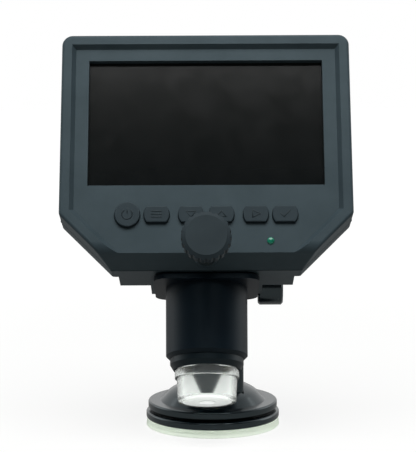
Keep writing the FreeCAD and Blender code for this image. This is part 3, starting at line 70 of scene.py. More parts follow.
def add_node(tree, kind, settings=(), inputs=()):
    """Add a node, set its properties, and fill its inputs; a tuple (node, socket) is a link."""
    made = tree.nodes.new(kind)
    for name, value in dict(settings).items():
        setattr(made, name, value)
    for name, value in dict(inputs).items():
        if isinstance(value, tuple):
            tree.links.new(value[0].outputs[value[1]], made.inputs[name])
        else:
            made.inputs[name].default_value = value
    return made


def new_material(name):
    """An empty material with its tree and its output node."""
    material = bpy.data.materials.new(name)
    material.use_nodes = True
    material.node_tree.nodes.clear()
    output = add_node(material.node_tree, "ShaderNodeOutputMaterial")
    return material, material.node_tree, output


def moulded_plastic(name, low, high, grain, relief, roughness, gloss):
    """Moulded plastic: slightly mottled colour, a fine grain, and an uneven sheen."""
    material, tree, output = new_material(name)
    place = add_node(tree, "ShaderNodeTexCoord")
    cloud = add_node(tree, "ShaderNodeTexNoise", (), {
        "Vector": (place, "Object"), "Scale": 1 / mottle_size, "Detail": 4.0, "Roughness": 0.6})
    colour = add_node(tree, "ShaderNodeValToRGB", (), {"Fac": (cloud, "Fac")})
    colour.color_ramp.elements[0].position = 0.3
    colour.color_ramp.elements[0].color = linear(low)
    colour.color_ramp.elements[1].position = 0.7
    colour.color_ramp.elements[1].color = linear(high)
    speck = add_node(tree, "ShaderNodeTexNoise", (), {
        "Vector": (place, "Object"), "Scale": 1 / grain, "Detail": 3.0, "Roughness": 0.7})
    sheen = add_node(tree, "ShaderNodeMapRange", (), {
        "Value": (speck, "Fac"), "From Min": 0.3, "From Max": 0.7,
        "To Min": roughness - sheen_spread, "To Max": roughness + sheen_spread})
    relief_node = add_node(tree, "ShaderNodeBump", (), {
        "Height": (speck, "Fac"), "Strength": 0.5, "Distance": relief})
    shader = add_node(tree, "ShaderNodeBsdfPrincipled", (), {
        "Base Color": (colour, "Color"), "Roughness": (sheen, "Result"),
        "Normal": (relief_node, "Normal"), "Specular IOR Level": gloss,
        "IOR": plastic_index, "Specular Tint": gloss_tint})
    tree.links.new(shader.outputs["BSDF"], output.inputs["Surface"])
    return material


def dress(names, material):
    """Give CAD pieces one material."""
    for name in names:
        nodes[name].data.materials.clear()
        nodes[name].data.materials.append(material)


# The real grain is about 0.1 mm and would not show, so it is drawn three times as coarse
case_abs = moulded_plastic("charcoal_textured_abs", "#37444a", "#404d53",
                           grain=0.35 * mm, relief=0.05 * mm, roughness=0.52, gloss=0.3)
dress(["front_shell", "rear_shell", "battery_door"], case_abs)


# Head frame. Everything on the head leans back with it, so its pieces are
# modelled upright about the lens tube and are then set in place by the
# direction of the lens slide and the axis of the focus knob.
joints = {joint["name"]: joint for joint in frame["joints"]}
head_up = Vector(joints["lens_slide"]["axis"]).normalized()
head_forward = Vector(joints["focus_turn"]["axis"]).normalized()
head_side = Vector((1, 0, 0))
head_turn = Matrix((head_side, -head_forward, head_up)).transposed().to_4x4()
smooth_angle = math.radians(35)


def head_box(name):
    """Lowest and highest corner of a CAD piece in the head's own directions."""
    inverse = head_turn.inverted()
    points = [inverse @ vertex.co for vertex in nodes[name].data.vertices]
    low = Vector([min(point[axis] for point in points) for axis in range(3)])
    high = Vector([max(point[axis] for point in points) for axis in range(3)])
    return low, high


def start_mesh(name, vertices, edges=(), faces=()):
    """A new mesh piece, selected alone and active."""
    bpy.ops.object.select_all(action="DESELECT")
    mesh = bpy.data.meshes.new(name)
    mesh.from_pydata([Vector(vertex) for vertex in vertices], edges, faces)
    piece = bpy.data.objects.new(name, mesh)
    bpy.context.scene.collection.objects.link(piece)
    bpy.context.view_layer.objects.active = piece
    piece.select_set(True)
    return piece


def face_outwards():
    """Turn the faces of the active piece outwards."""
    bpy.ops.object.mode_set(mode="EDIT")
    bpy.ops.mesh.select_all(action="SELECT")
    bpy.ops.mesh.normals_make_consistent(inside=False)
    bpy.ops.object.mode_set(mode="OBJECT")


def finish_piece(piece, material, body, turn=None):
    """Set a finished mesh in place, shade it, and let it ride on its body."""
    if turn is not None:
        piece.data.transform(turn)
    piece.data.materials.clear()
    piece.data.materials.append(material)
    bpy.ops.object.select_all(action="DESELECT")
    bpy.context.view_layer.objects.active = piece
    piece.select_set(True)
    bpy.ops.object.shade_smooth_by_angle(angle=smooth_angle)
    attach(piece, body)
    return piece


# Parting line. Where the two moulded halves of the case meet, a shadow gap a
# third of a millimetre wide runs round it. It is made as a dark strip, a painted shadow, that
# fills the joint and stands a hair proud of the walls, so that it shows as a line.
shell_low, shell_high = head_box("front_shell")
seam_wide = 0.3 * mm
seam_proud = 0.04 * mm
corner_cut = 21 * mm
corner_round = 4.5 * mm
ring_deep = 1.2 * mm
corner_steps = 6


def seam_outline(grow):
    """The case outline as corner points, grown by an amount."""
    side = (shell_high.x - shell_low.x) / 2 + grow
    middle = (shell_high.x + shell_low.x) / 2
    foot = shell_low.z - grow
    top = shell_high.z + grow
    slant = corner_cut + grow * (math.sqrt(2) - 1)
    radius = corner_round + grow
    points = [(side - slant, foot), (side, foot + slant)]
    for step in range(corner_steps + 1):
        angle = math.radians(90 * step / corner_steps)
        points.append((side - radius + radius * math.cos(angle),
                       top - radius + radius * math.sin(angle)))
    points += [(-x, z) for x, z in reversed(points)]
    return [(middle + x, z) for x, z in points]


outer = seam_outline(seam_proud)
inner = seam_outline(-ring_deep)
count = len(outer)
back_face = shell_high.y + seam_wide / 2
front_face = shell_high.y - seam_wide / 2
rings = [[(x, reach, z) for x, z in outline] for outline, reach in
         ((outer, front_face), (outer, back_face), (inner, back_face), (inner, front_face))]
seam_faces = [(ring * count + step, ring * count + (step + 1) % count,
               (ring + 1) % len(rings) * count + (step + 1) % count,
               (ring + 1) % len(rings) * count + step)
              for ring in range(len(rings)) for step in range(count)]
seam = start_mesh("seam_strip", [point for ring in rings for point in ring], (), seam_faces)
face_outwards()
# Painted shadow: dull and nearly black, as a gap that swallows the light
seam_painted_shadow = moulded_plastic("painted_shadow_gap", "#12171a", "#1a2023",
                             grain=0.4 * mm, relief=0.02 * mm, roughness=0.7, gloss=0.2)
finish_piece(seam, seam_painted_shadow, "head", head_turn)


# Screen. A polished acrylic window lies over a liquid crystal panel that is
# switched off, so it looks black, with a faint smoky painted lift of light
# towards its top. The module behind it is black too.
glass_low, glass_high = head_box("screen_glass")
haze_size = 40 * mm
haze_share = 0.15
smear_size = 9 * mm


def screen_acrylic():
    """Polished acrylic over a dark panel: near black, with faint haze, a painted lift of light
    towards its top, and wiping smears.
    """
    material, tree, output = new_material("smoked_acrylic_painted_top_light")
    place = add_node(tree, "ShaderNodeTexCoord")
    upright = add_node(tree, "ShaderNodeVectorMath", {"operation": "DOT_PRODUCT"}, {
        0: (place, "Object"), 1: head_up})
    # Painted light: the colour grows lighter with height up the screen
    height = add_node(tree, "ShaderNodeMapRange", (), {
        "Value": (upright, "Value"), "From Min": glass_low.z, "From Max": glass_high.z,
        "To Min": 0.0, "To Max": 1.0})
    haze = add_node(tree, "ShaderNodeTexNoise", (), {
        "Vector": (place, "Object"), "Scale": 1 / haze_size, "Detail": 2.0})
    lift = add_node(tree, "ShaderNodeMath", {"operation": "MULTIPLY_ADD"}, {
        0: (haze, "Fac"), 1: haze_share, 2: (height, "Result")})
    colour = add_node(tree, "ShaderNodeValToRGB", (), {"Fac": (lift, "Value")})
    colour.color_ramp.elements[0].color = linear("#0d1112")
    colour.color_ramp.elements[1].color = linear("#1a1c1b")
    smear = add_node(tree, "ShaderNodeTexNoise", (), {
        "Vector": (place, "Object"), "Scale": 1 / smear_size, "Detail": 5.0, "Distortion": 0.6})
    polish = add_node(tree, "ShaderNodeMapRange", (), {
        "Value": (smear, "Fac"), "To Min": 0.1, "To Max": 0.2})
    shader = add_node(tree, "ShaderNodeBsdfPrincipled", (), {
        "Base Color": (colour, "Color"), "Roughness": (polish, "Result"),
        "Specular IOR Level": 0.25, "IOR": 1.49})
    tree.links.new(shader.outputs["BSDF"], output.inputs["Surface"])
    return material


dress(["screen_glass", "display_module"], screen_acrylic())


# Buttons. Six moulded caps stand a little out of the panel: a round one for
# power and five with flattened top and bottom. Each carries its sign as thin
# raised strokes of the same plastic, polished a little by the fingers.
button_abs = moulded_plastic("satin_button_abs", "#263036", "#2d383e",
                             grain=0.5 * mm, relief=0.03 * mm, roughness=0.45, gloss=0.3)
sign_abs = moulded_plastic("raised_sign_abs", "#182125", "#20292e",
                           grain=0.5 * mm, relief=0.02 * mm, roughness=0.4, gloss=0.3)
stroke_wide = 0.45 * mm
stroke_proud = 0.14 * mm
stroke_bevel = 0.1 * mm
power_ring = 2.1 * mm
power_gap = 38
power_step = 14

# Each sign as strokes in millimetres, from the middle of its button
button_signs = {
    "button_power": [[(0, 0.6), (0, 2.6)]],
    "button_menu": [[(-1.9, 1.2), (1.9, 1.2)], [(-1.9, 0), (1.9, 0)],
                    [(-1.9, -1.2), (1.9, -1.2)]],
    "button_down": [[(-1.9, 1.1), (1.9, 1.1), (0, -1.3), (-1.9, 1.1)]],
    "button_up": [[(-1.9, -1.1), (1.9, -1.1), (0, 1.3), (-1.9, -1.1)]],
    "button_play": [[(-1.3, 1.5), (1.7, 0), (-1.3, -1.5), (-1.3, 1.5)]],
    "button_ok": [[(-1.8, 0.1), (-0.5, -1.3), (1.9, 1.4)]],
}


def stroke_slab(start, end):
    """Corners and faces of one straight stroke on the face of a button."""
    along = (end - start).normalized()
    across = Vector((-along.z, 0, along.x)) * (stroke_wide / 2)
    start = start - along * (stroke_wide / 2)
    end = end + along * (stroke_wide / 2)
    rise = Vector((0, -stroke_proud, 0))
    corners = [start - across, end - across, end + across, start + across]
    sunk = [corner - rise for corner in corners]
    return sunk + [corner + rise for corner in corners]


slab_faces = [(0, 1, 2, 3), (4, 7, 6, 5), (0, 4, 5, 1), (1, 5, 6, 2), (2, 6, 7, 3), (3, 7, 4, 0)]
dress(list(button_signs), button_abs)
for button, strokes in button_signs.items():
    low, high = head_box(button)
    centre = Vector(((low.x + high.x) / 2, low.y, (low.z + high.z) / 2))
    runs = [[centre + Vector((x, 0, z)) * mm for x, z in stroke] for stroke in strokes]
    if button == "button_power":
        angles = [math.radians(angle)
                  for angle in range(90 + power_gap, 450 - power_gap + 1, power_step)]
        runs.append([centre + Vector((math.cos(angle), 0, math.sin(angle))) * power_ring
                     for angle in angles])
    corners = []
    faces = []
    for run in runs:
        for start, end in zip(run, run[1:]):
            faces += [tuple(len(corners) + corner for corner in face) for face in slab_faces]
            corners += stroke_slab(start, end)
    sign = start_mesh(button.replace("button", "sign"), corners, (), faces)
    face_outwards()
    bpy.ops.object.mode_set(mode="EDIT")
    bpy.ops.mesh.bevel(offset=stroke_bevel, segments=2)
    bpy.ops.object.mode_set(mode="OBJECT")
    finish_piece(sign, sign_abs, button, head_turn)


# Charging lamp. A clear green tinted polystyrene light pipe comes out through
# the panel and ends in a low polished dome.
merge_gap = 0.002 * mm
dome_rise = 0.55 * mm
dome_sunk = 0.1 * mm
dome_steps = 6
dome_sides = 32
pipe_cloud = 1.2 * mm


def turned(name, profile, steps, centre, sweep=2 * math.pi):
    """A mesh spun from (radius, height) corners about an upright axis through a point."""
    points = [centre + Vector((radius, 0, height)) for radius, height in profile]
    edges = [(index, index + 1) for index in range(len(points) - 1)]
    piece = start_mesh(name, points, edges)
    bpy.ops.object.mode_set(mode="EDIT")
    bpy.ops.mesh.select_all(action="SELECT")
    bpy.ops.mesh.spin(steps=steps, angle=sweep, center=centre, axis=(0, 0, 1))
    bpy.ops.mesh.select_all(action="SELECT")
    bpy.ops.mesh.remove_doubles(threshold=merge_gap)
    bpy.ops.object.mode_set(mode="OBJECT")
    face_outwards()
    return piece


def tinted_polystyrene():
    """Green tinted polystyrene: glossy, with a cloudy depth and a faint glow of its own."""
    material, tree, output = new_material("green_tinted_polystyrene")
    place = add_node(tree, "ShaderNodeTexCoord")
    depth = add_node(tree, "ShaderNodeTexNoise", (), {
        "Vector": (place, "Object"), "Scale": 1 / pipe_cloud, "Detail": 2.0})
    colour = add_node(tree, "ShaderNodeValToRGB", (), {"Fac": (depth, "Fac")})
    colour.color_ramp.elements[0].position = 0.35
    colour.color_ramp.elements[0].color = linear("#0f5f48")
    colour.color_ramp.elements[1].position = 0.65
    colour.color_ramp.elements[1].color = linear("#1f9074")
    shader = add_node(tree, "ShaderNodeBsdfPrincipled", (), {
        "Base Color": (colour, "Color"), "Roughness": 0.18, "IOR": 1.59,
        "Emission Color": linear("#0f6b50"), "Emission Strength": 0.12})
    tree.links.new(shader.outputs["BSDF"], output.inputs["Surface"])
    return material


lamp_material = tinted_polystyrene()
dress(["indicator_lamp"], lamp_material)
lamp_low, lamp_high = head_box("indicator_lamp")
lamp_radius = (lamp_high.x - lamp_low.x) / 2
lamp_centre = Vector(((lamp_low.x + lamp_high.x) / 2, lamp_low.y,
                      (lamp_low.z + lamp_high.z) / 2))
dome_profile = [(lamp_radius, -dome_sunk)]
for step in range(dome_steps + 1):
    turn = math.radians(90 * step / dome_steps)
    dome_profile.append((lamp_radius * math.cos(turn), dome_rise * math.sin(turn)))
dome = turned("lamp_dome", dome_profile, dome_sides, Vector())
face_forward = Matrix.Translation(lamp_centre) @ Matrix.Rotation(math.radians(90), 4, "X")
finish_piece(dome, lamp_material, "head", head_turn @ face_forward)


# Focus knob, with its steel shaft and brass pinion. The knob is moulded ABS
# with a flat dull face and deep flutes round its rim, and is pressed on.
knob_abs = moulded_plastic("fluted_knob_abs", "#252e33", "#2d373c",
                           grain=0.4 * mm, relief=0.04 * mm, roughness=0.48, gloss=0.3)
dress(["focus_knob"], knob_abs)
# Turning marks are finer than this on the real pieces, and are drawn coarser to show
turning_marks = 0.6 * mm
polish_spread = 0.08


def turned_metal(name, base, dark, roughness):
    """Bare metal, machined: fine rings of colour and an uneven polish."""
    material, tree, output = new_material(name)
    place = add_node(tree, "ShaderNodeTexCoord")
    rings = add_node(tree, "ShaderNodeTexNoise", (), {
        "Vector": (place, "Object"), "Scale": 1 / turning_marks, "Detail": 4.0})
    colour = add_node(tree, "ShaderNodeValToRGB", (), {"Fac": (rings, "Fac")})
    colour.color_ramp.elements[0].position = 0.3
    colour.color_ramp.elements[0].color = linear(dark)
    colour.color_ramp.elements[1].position = 0.7
    colour.color_ramp.elements[1].color = linear(base)
    polish = add_node(tree, "ShaderNodeMapRange", (), {
        "Value": (rings, "Fac"), "To Min": roughness - polish_spread,
        "To Max": roughness + polish_spread})
    shader = add_node(tree, "ShaderNodeBsdfPrincipled", (), {
        "Base Color": (colour, "Color"), "Roughness": (polish, "Result"), "Metallic": 1.0})
    tree.links.new(shader.outputs["BSDF"], output.inputs["Surface"])
    return material


zinc_steel = turned_metal("zinc_plated_steel", "#b9bcc0", "#8f9397", 0.3)
dress(["focus_shaft", "battery_contacts", "charging_socket", "card_socket", "case_screws",
       "flange_screws", "bracket_screws", "arm_screws", "hinge_bolt", "hinge_nut",
       "hinge_washer", "stem_nut", "pad_stem"], zinc_steel)
dress(["focus_pinion", "focus_rack", "shaft_bush"],
      turned_metal("turned_brass", "#c9a860", "#a58743", 0.32))


# Lens tube and end ring. Darker ABS than the case, with a smoother satin
# surface that stays black face on and picks up the light along both sides.
tube_abs = moulded_plastic("black_satin_abs", "#06111a", "#0b1821",
                           grain=0.3 * mm, relief=0.02 * mm, roughness=0.42, gloss=0.18)
dress(["lens_tube"], tube_abs)
dress(["end_ring", "lens_carrier", "lens_nose", "lens_guide"],
      moulded_plastic("black_fine_abs", "#09141a", "#0f1a20",
                      grain=0.3 * mm, relief=0.015 * mm, roughness=0.38, gloss=0.25))


# Inside of the head. Green boards with their black chips and switches, the
# blue wrapped cell, and the little white lights in yellow phosphor.
track_pitch = 8 * mm
coating_patch = 3 * mm


def solder_mask():
    """Green solder mask over copper: glossy, with the tracks as paler lines."""
    material, tree, output = new_material("green_solder_mask")
    place = add_node(tree, "ShaderNodeTexCoord")
    tracks = add_node(tree, "ShaderNodeTexBrick", (), {
        "Vector": (place, "Object"), "Scale": 1 / track_pitch, "Mortar Size": 0.03,
        "Color1": linear("#0e4a2a"), "Color2": linear("#115532"), "Mortar": linear("#2c7a4e")})
    shader = add_node(tree, "ShaderNodeBsdfPrincipled", (), {
        "Base Color": (tracks, "Color"), "Roughness": 0.28, "IOR": 1.5})
    tree.links.new(shader.outputs["BSDF"], output.inputs["Surface"])
    return material


dress(["main_board", "key_board", "sensor_board", "light_board"], solder_mask())
dress(["board_chips", "key_switches", "image_sensor"],
      moulded_plastic("moulded_epoxy", "#0f1010", "#171818",
                      grain=0.2 * mm, relief=0.01 * mm, roughness=0.55, gloss=0.3))
dress(["battery_cell"],
      moulded_plastic("blue_shrink_sleeve", "#1f4f9a", "#285ba8",
                      grain=1.5 * mm, relief=0.03 * mm, roughness=0.3, gloss=0.5))
dress(["ring_lights"],
      moulded_plastic("phosphor_resin", "#d8c63a", "#f0e37a",
                      grain=0.6 * mm, relief=0.01 * mm, roughness=0.25, gloss=0.5))


def polished_glass():
    """Coated lens glass: clear and polished, with a faint shift of tint."""
    material, tree, output = new_material("coated_optical_glass")
    place = add_node(tree, "ShaderNodeTexCoord")
    coating = add_node(tree, "ShaderNodeTexNoise", (), {
        "Vector": (place, "Object"), "Scale": 1 / coating_patch})
    colour = add_node(tree, "ShaderNodeValToRGB", (), {"Fac": (coating, "Fac")})
    colour.color_ramp.elements[0].color = linear("#e3f2ff")
    colour.color_ramp.elements[1].color = linear("#f6f0ff")
    shader = add_node(tree, "ShaderNodeBsdfPrincipled", (), {
        "Base Color": (colour, "Color"), "Roughness": 0.02, "IOR": 1.52,
        "Transmission Weight": 1.0})
    tree.links.new(shader.outputs["BSDF"], output.inputs["Surface"])
    return material


dress(["objective_lenses"], polished_glass())


# Clear cap. A thin wall of moulded polystyrene, clear but a little frosted by its
# mould, with a thick collar under the end ring, a rounded foot and a viewing
# hole. It is pressed into the end ring, and the dark nose shows through it.
cap_low, cap_high = head_box("clear_cap")
cap_centre = Vector(((cap_low.x + cap_high.x) / 2, (cap_low.y + cap_high.y) / 2, 0))
collar_radius = (cap_high.x - cap_low.x) / 2
neck_height = 3.1 * mm
collar_height = 3.8 * mm
neck_radius = 12.9 * mm
neck_wall = 1.0 * mm
body_radius = 12.5 * mm
foot_radius = 12.1 * mm
cap_wall = 1.4 * mm
hole_radius = 3.0 * mm
hole_cut = 0.3 * mm
inner_cut = 0.6 * mm
ledge_rise = 0.8 * mm
foot_bend = 1.2 * mm
collar_bend = 0.35 * mm
cap_sides = 128
flow_size = 2.5 * mm
collar_top = cap_high.z - neck_height
collar_foot = collar_top - collar_height
cap_profile = [
    (neck_radius - neck_wall, cap_high.z),
    (neck_radius, cap_high.z),
    (neck_radius, collar_top),
    (collar_radius - collar_bend, collar_top),
    (collar_radius, collar_top - collar_bend),
    (collar_radius, collar_foot + collar_bend),
    (collar_radius - collar_bend, collar_foot),
    (body_radius, collar_foot),
]
for step in range(corner_steps + 1):
    turn = math.radians(90 * step / corner_steps)
    cap_profile.append((foot_radius - foot_bend + foot_bend * math.cos(turn),
                        cap_low.z + foot_bend - foot_bend * math.sin(turn)))
cap_profile += [
    (hole_radius + hole_cut, cap_low.z),
    (hole_radius, cap_low.z + hole_cut),
    (hole_radius, cap_low.z + cap_wall),
    (foot_radius - cap_wall - inner_cut, cap_low.z + cap_wall),
    (foot_radius - cap_wall, cap_low.z + cap_wall + inner_cut),
    (body_radius - cap_wall, collar_foot + ledge_rise),
    (neck_radius - neck_wall, collar_foot + ledge_rise),
    (neck_radius - neck_wall, cap_high.z),
]


def frosted_polystyrene():
    """Clear polystyrene from a dull mould: see-through, with soft uneven highlights."""
    material, tree, output = new_material("clear_frosted_polystyrene")
    place = add_node(tree, "ShaderNodeTexCoord")
    flow = add_node(tree, "ShaderNodeTexNoise", (), {
        "Vector": (place, "Object"), "Scale": 1 / flow_size, "Detail": 3.0})
    colour = add_node(tree, "ShaderNodeValToRGB", (), {"Fac": (flow, "Fac")})
    colour.color_ramp.elements[0].color = linear("#e9efec")
    colour.color_ramp.elements[1].color = linear("#fbfdfb")
    frost = add_node(tree, "ShaderNodeMapRange", (), {
        "Value": (flow, "Fac"), "To Min": 0.16, "To Max": 0.24})
    relief_node = add_node(tree, "ShaderNodeBump", (), {
        "Height": (flow, "Fac"), "Strength": 0.2, "Distance": 0.05 * mm})
    shader = add_node(tree, "ShaderNodeBsdfPrincipled", (), {
        "Base Color": (colour, "Color"), "Roughness": (frost, "Result"), "IOR": 1.49,
        "Transmission Weight": 0.98, "Normal": (relief_node, "Normal")})
    tree.links.new(shader.outputs["BSDF"], output.inputs["Surface"])
    return material


cap = turned("cap_shell", cap_profile, cap_sides, cap_centre)
finish_piece(cap, frosted_polystyrene(), "head", head_turn)
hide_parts("clear_cap")


# Painted glow. A thin milky liner stands inside the back half of the cap and a thin
# disc lies on its foot. Both are pushed in, and glow with painted light round the
# dark nose, standing in for the light that the thick moulded walls of the real cap carry.
liner_radius = foot_radius - cap_wall - 0.15 * mm
liner_thick = 0.5 * mm
liner_foot = cap_low.z + cap_wall + 0.75 * mm
liner_top = collar_top - 0.3 * mm
liner_steps = 48
disc_hole = hole_radius + 0.4 * mm
disc_radius = liner_radius - 0.5 * mm
disc_foot = cap_low.z + cap_wall + 0.1 * mm
disc_thick = 0.4 * mm
disc_steps = 96
milk_cloud = 4 * mm


def thickened(piece, thickness, offset):
    """Give the wall of the active piece its thickness."""
    solid = piece.modifiers.new("thicken", "SOLIDIFY")
    solid.thickness = thickness
    solid.offset = offset
    bpy.ops.object.modifier_apply(modifier="thicken")


def milky_polystyrene_painted_glow():
    """Milky polystyrene: soft white, with a faint painted glow standing in for the light inside
    the cap's wall.
    """
    material, tree, output = new_material("milky_polystyrene_painted_glow")
    place = add_node(tree, "ShaderNodeTexCoord")
    cloud = add_node(tree, "ShaderNodeTexNoise", (), {
        "Vector": (place, "Object"), "Scale": 1 / milk_cloud, "Detail": 3.0})
    colour = add_node(tree, "ShaderNodeValToRGB", (), {"Fac": (cloud, "Fac")})
    colour.color_ramp.elements[0].color = linear("#f6faf6")
    colour.color_ramp.elements[1].color = linear("#ffffff")
    # Painted glow: the emission stands in for light carried in the cap's wall
    shader = add_node(tree, "ShaderNodeBsdfPrincipled", (), {
        "Base Color": (colour, "Color"), "Roughness": 0.5, "IOR": 1.49,
        "Emission Color": linear("#ffffff"), "Emission Strength": 0.45})
    tree.links.new(shader.outputs["BSDF"], output.inputs["Surface"])
    return material


liner_profile = [(liner_radius, liner_foot), (liner_radius, liner_top)]
liner = turned("cap_glow_liner", liner_profile, liner_steps, cap_centre, -math.pi)
thickened(liner, liner_thick, -1.0)
painted_glow_material = milky_polystyrene_painted_glow()
finish_piece(liner, painted_glow_material, "head", head_turn)
disc_profile = [(disc_hole, disc_foot), (disc_radius, disc_foot)]
foot_disc = turned("cap_glow_disc", disc_profile, disc_steps, cap_centre)
thickened(foot_disc, -disc_thick, 1.0)
finish_piece(foot_disc, painted_glow_material, "head", head_turn)


# Stand. Arm, foot, lock ring, bracket and lock knob are black ABS from a
# polished mould, so their edges and the rim of the foot shine softly.
stand_abs = moulded_plastic("black_gloss_abs", "#08131a", "#0e191f",
                            grain=0.5 * mm, relief=0.012 * mm, roughness=0.18, gloss=0.75)
dress(["foot", "arm", "lock_ring", "hinge_bracket", "lock_knob"], stand_abs)


# Suction pad. A shallow cup of milky translucent PVC under the lock ring, open
# below and slightly waisted, with a soft rounded rim. It lies on the table, and
# light comes through it, helped by a faint painted glow, so that it looks pale and greenish
# against the floor.
pad_low, pad_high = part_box("suction_pad")
pad_radius = (pad_high.x - pad_low.x) / 2
pad_centre = Vector(((pad_low.x + pad_high.x) / 2, (pad_low.y + pad_high.y) / 2, 0))
pad_thick = pad_high.z - pad_low.z
skirt_wall = 1.2 * mm
skirt_rise = 1.2 * mm
roof_setback = 3 * mm
lip_cut = 0.25 * mm
waist = 0.15 * mm
rim_setback = 0.3 * mm
rim_bend = 0.7 * mm
rim_steps = 5
pad_sides = 128
pad_cloud = 6 * mm
pad_profile = [
    (0, pad_high.z - skirt_wall),
    (pad_radius - roof_setback, pad_high.z - skirt_wall),
    (pad_radius - skirt_wall, pad_low.z + skirt_rise),
    (pad_radius - skirt_wall, pad_low.z),
    (pad_radius - lip_cut, pad_low.z),
    (pad_radius, pad_low.z + lip_cut),
    (pad_radius - waist, pad_low.z + pad_thick * 0.5),
]
for step in range(rim_steps + 1):
    turn = math.radians(90 * step / rim_steps)
    pad_profile.append((pad_radius - rim_setback - rim_bend + rim_bend * math.cos(turn),
                        pad_high.z - rim_bend + rim_bend * math.sin(turn)))
pad_profile.append((0, pad_high.z))


def milky_pvc_painted_glow():
    """Soft PVC: milky and half see-through, with a faint painted glow for the light it carries.
    """
    material, tree, output = new_material("milky_soft_pvc_painted_glow")
    place = add_node(tree, "ShaderNodeTexCoord")
    cloud = add_node(tree, "ShaderNodeTexNoise", (), {
        "Vector": (place, "Object"), "Scale": 1 / pad_cloud, "Detail": 3.0})
    colour = add_node(tree, "ShaderNodeValToRGB", (), {"Fac": (cloud, "Fac")})
    colour.color_ramp.elements[0].color = linear("#e3ece0")
    colour.color_ramp.elements[1].color = linear("#f2f8ee")
    relief_node = add_node(tree, "ShaderNodeBump", (), {
        "Height": (cloud, "Fac"), "Strength": 0.2, "Distance": 0.1 * mm})
    # Painted glow: the emission stands in for light coming through the pad
    shader = add_node(tree, "ShaderNodeBsdfPrincipled", (), {
        "Base Color": (colour, "Color"), "Roughness": 0.32, "IOR": 1.53,
        "Transmission Weight": 0.7, "Normal": (relief_node, "Normal"),
        "Emission Color": linear("#e6efe2"), "Emission Strength": 0.17})
    tree.links.new(shader.outputs["BSDF"], output.inputs["Surface"])
    return material


pad = turned("pad_disc", pad_profile, pad_sides, pad_centre)
finish_piece(pad, milky_pvc_painted_glow(), "stand")
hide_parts("suction_pad")


# Studio. A plain pale floor that keeps the shadow, a white background, soft
# lamps above and beside the part, and the camera where the photograph's stood.
floor_half = 3.0
floor_sunk = 0.02 * mm
floor_mirror = 0.3
floor_near = 0.08
floor_far = 0.9
painted_shade_level = 0.84


def studio_floor():
    """Pale floor: takes the shadow, looks white to the camera and through clear plastic, and
    glows a little less round the part as a painted shade.
    """
    material, tree, output = new_material("pale_studio_floor")
    path = add_node(tree, "ShaderNodeLightPath")
    seen = add_node(tree, "ShaderNodeMath", {"operation": "MAXIMUM"}, {
        0: (path, "Is Camera Ray"), 1: (path, "Is Transmission Ray")})
    mirrored = add_node(tree, "ShaderNodeMath", {"operation": "MULTIPLY"}, {
        0: (path, "Is Glossy Ray"), 1: floor_mirror})
    shown = add_node(tree, "ShaderNodeMath", {"operation": "MAXIMUM"}, {
        0: (seen, "Value"), 1: (mirrored, "Value")})
    place = add_node(tree, "ShaderNodeTexCoord")
    distance = add_node(tree, "ShaderNodeVectorMath", {"operation": "LENGTH"}, {
        0: (place, "Object")})
    # Painted shade: the floor's glow is lower near the part and rises to full white further out
    level = add_node(tree, "ShaderNodeMapRange", {"interpolation_type": "SMOOTHSTEP"}, {
        "Value": (distance, "Value"), "From Min": floor_near, "From Max": floor_far,
        "To Min": painted_shade_level, "To Max": 1.0})
    lift = add_node(tree, "ShaderNodeMath", {"operation": "MULTIPLY"}, {
        0: (shown, "Value"), 1: (level, "Result")})
    shader = add_node(tree, "ShaderNodeBsdfPrincipled", (), {
        "Base Color": linear("#7c7d7b"), "Roughness": 0.9, "Specular IOR Level": 0.0,
        "Emission Color": [1, 1, 1, 1], "Emission Strength": (lift, "Value")})
    tree.links.new(shader.outputs["BSDF"], output.inputs["Surface"])
    return material


floor_corners = [(-floor_half, -floor_half, 0), (floor_half, -floor_half, 0),
                 (floor_half, floor_half, 0), (-floor_half, floor_half, 0)]
floor = start_mesh("studio_floor", floor_corners, (), [(0, 1, 2, 3)])
floor.data.materials.append(studio_floor())
floor.location.z = pad_low.z - floor_sunk

world = bpy.data.worlds.new("studio_world")
bpy.context.scene.world = world
world.use_nodes = True
world.node_tree.nodes.clear()
sky = world.node_tree
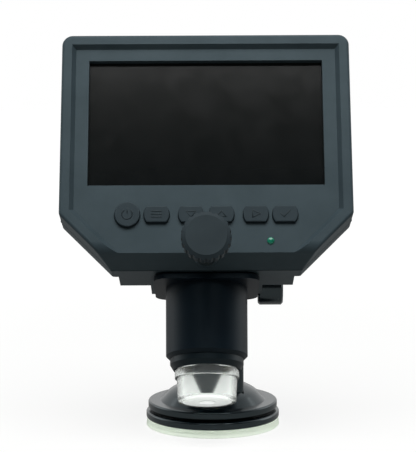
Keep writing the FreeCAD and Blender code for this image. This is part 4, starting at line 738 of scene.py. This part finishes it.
# Gloss mirrors a dark room before the part and a bright wall behind it
sky_level = 0.18
sky_reach = 0.5
mirror_before = 0.06
mirror_behind = 0.9
sky_path = add_node(sky, "ShaderNodeLightPath")
sky_place = add_node(sky, "ShaderNodeTexCoord")
sky_split = add_node(sky, "ShaderNodeSeparateXYZ", (), {"Vector": (sky_place, "Generated")})
sky_mirrored = add_node(sky, "ShaderNodeMapRange", (), {
    "Value": (sky_split, "Y"), "From Min": -sky_reach, "From Max": sky_reach,
    "To Min": mirror_before, "To Max": mirror_behind})
sky_lit = add_node(sky, "ShaderNodeMix", {"data_type": "FLOAT"}, {
    "Factor": (sky_path, "Is Glossy Ray"), "A": sky_level, "B": (sky_mirrored, "Result")})
sky_seen = add_node(sky, "ShaderNodeMath", {"operation": "MAXIMUM"}, {
    0: (sky_path, "Is Camera Ray"), 1: (sky_path, "Is Transmission Ray")})
sky_strength = add_node(sky, "ShaderNodeMix", {"data_type": "FLOAT"}, {
    "Factor": (sky_seen, "Value"), "A": (sky_lit, "Result"), "B": 1.0})
sky_light = add_node(sky, "ShaderNodeBackground", (), {
    "Color": [1, 1, 1, 1], "Strength": (sky_strength, "Result")})
add_node(sky, "ShaderNodeOutputWorld", (), {"Surface": (sky_light, "Background")})


def soft_lamp(name, spot, target, width, height, power):
    """A large rectangular lamp that looks at a target."""
    light = bpy.data.lights.new(name, "AREA")
    light.shape = "RECTANGLE"
    light.size = width
    light.size_y = height
    light.energy = power
    lamp = bpy.data.objects.new(name, light)
    bpy.context.scene.collection.objects.link(lamp)
    lamp.location = spot
    lamp.rotation_euler = (Vector(target) - Vector(spot)).to_track_quat("-Z", "Y").to_euler()


middle = (0, -0.02, 0.09)
top_power = 6.0
side_power = 0.9
soft_lamp("top_lamp", (0, -0.35, 0.85), middle, 0.7, 0.5, top_power)
soft_lamp("left_lamp", (-0.8, 0.25, 0.3), middle, 0.5, 0.7, side_power)
soft_lamp("right_lamp", (0.8, 0.25, 0.3), middle, 0.5, 0.7, side_power)

lens_length = 132.0
sensor_width = 36.0
camera_place = Vector((-0.0017, -0.710, 0.1688))
camera_dip = 6.6
camera_roll = -0.25
camera_data = bpy.data.cameras.new("studio_camera")
camera_data.lens = lens_length
camera_data.sensor_width = sensor_width
camera = bpy.data.objects.new("studio_camera", camera_data)
bpy.context.scene.collection.objects.link(camera)
camera.location = camera_place
camera.rotation_euler = (math.radians(90 - camera_dip), 0, 0)
camera.rotation_euler.rotate_axis("Z", math.radians(camera_roll))
bpy.context.scene.camera = camera
bpy.context.scene.view_settings.view_transform = "Standard"
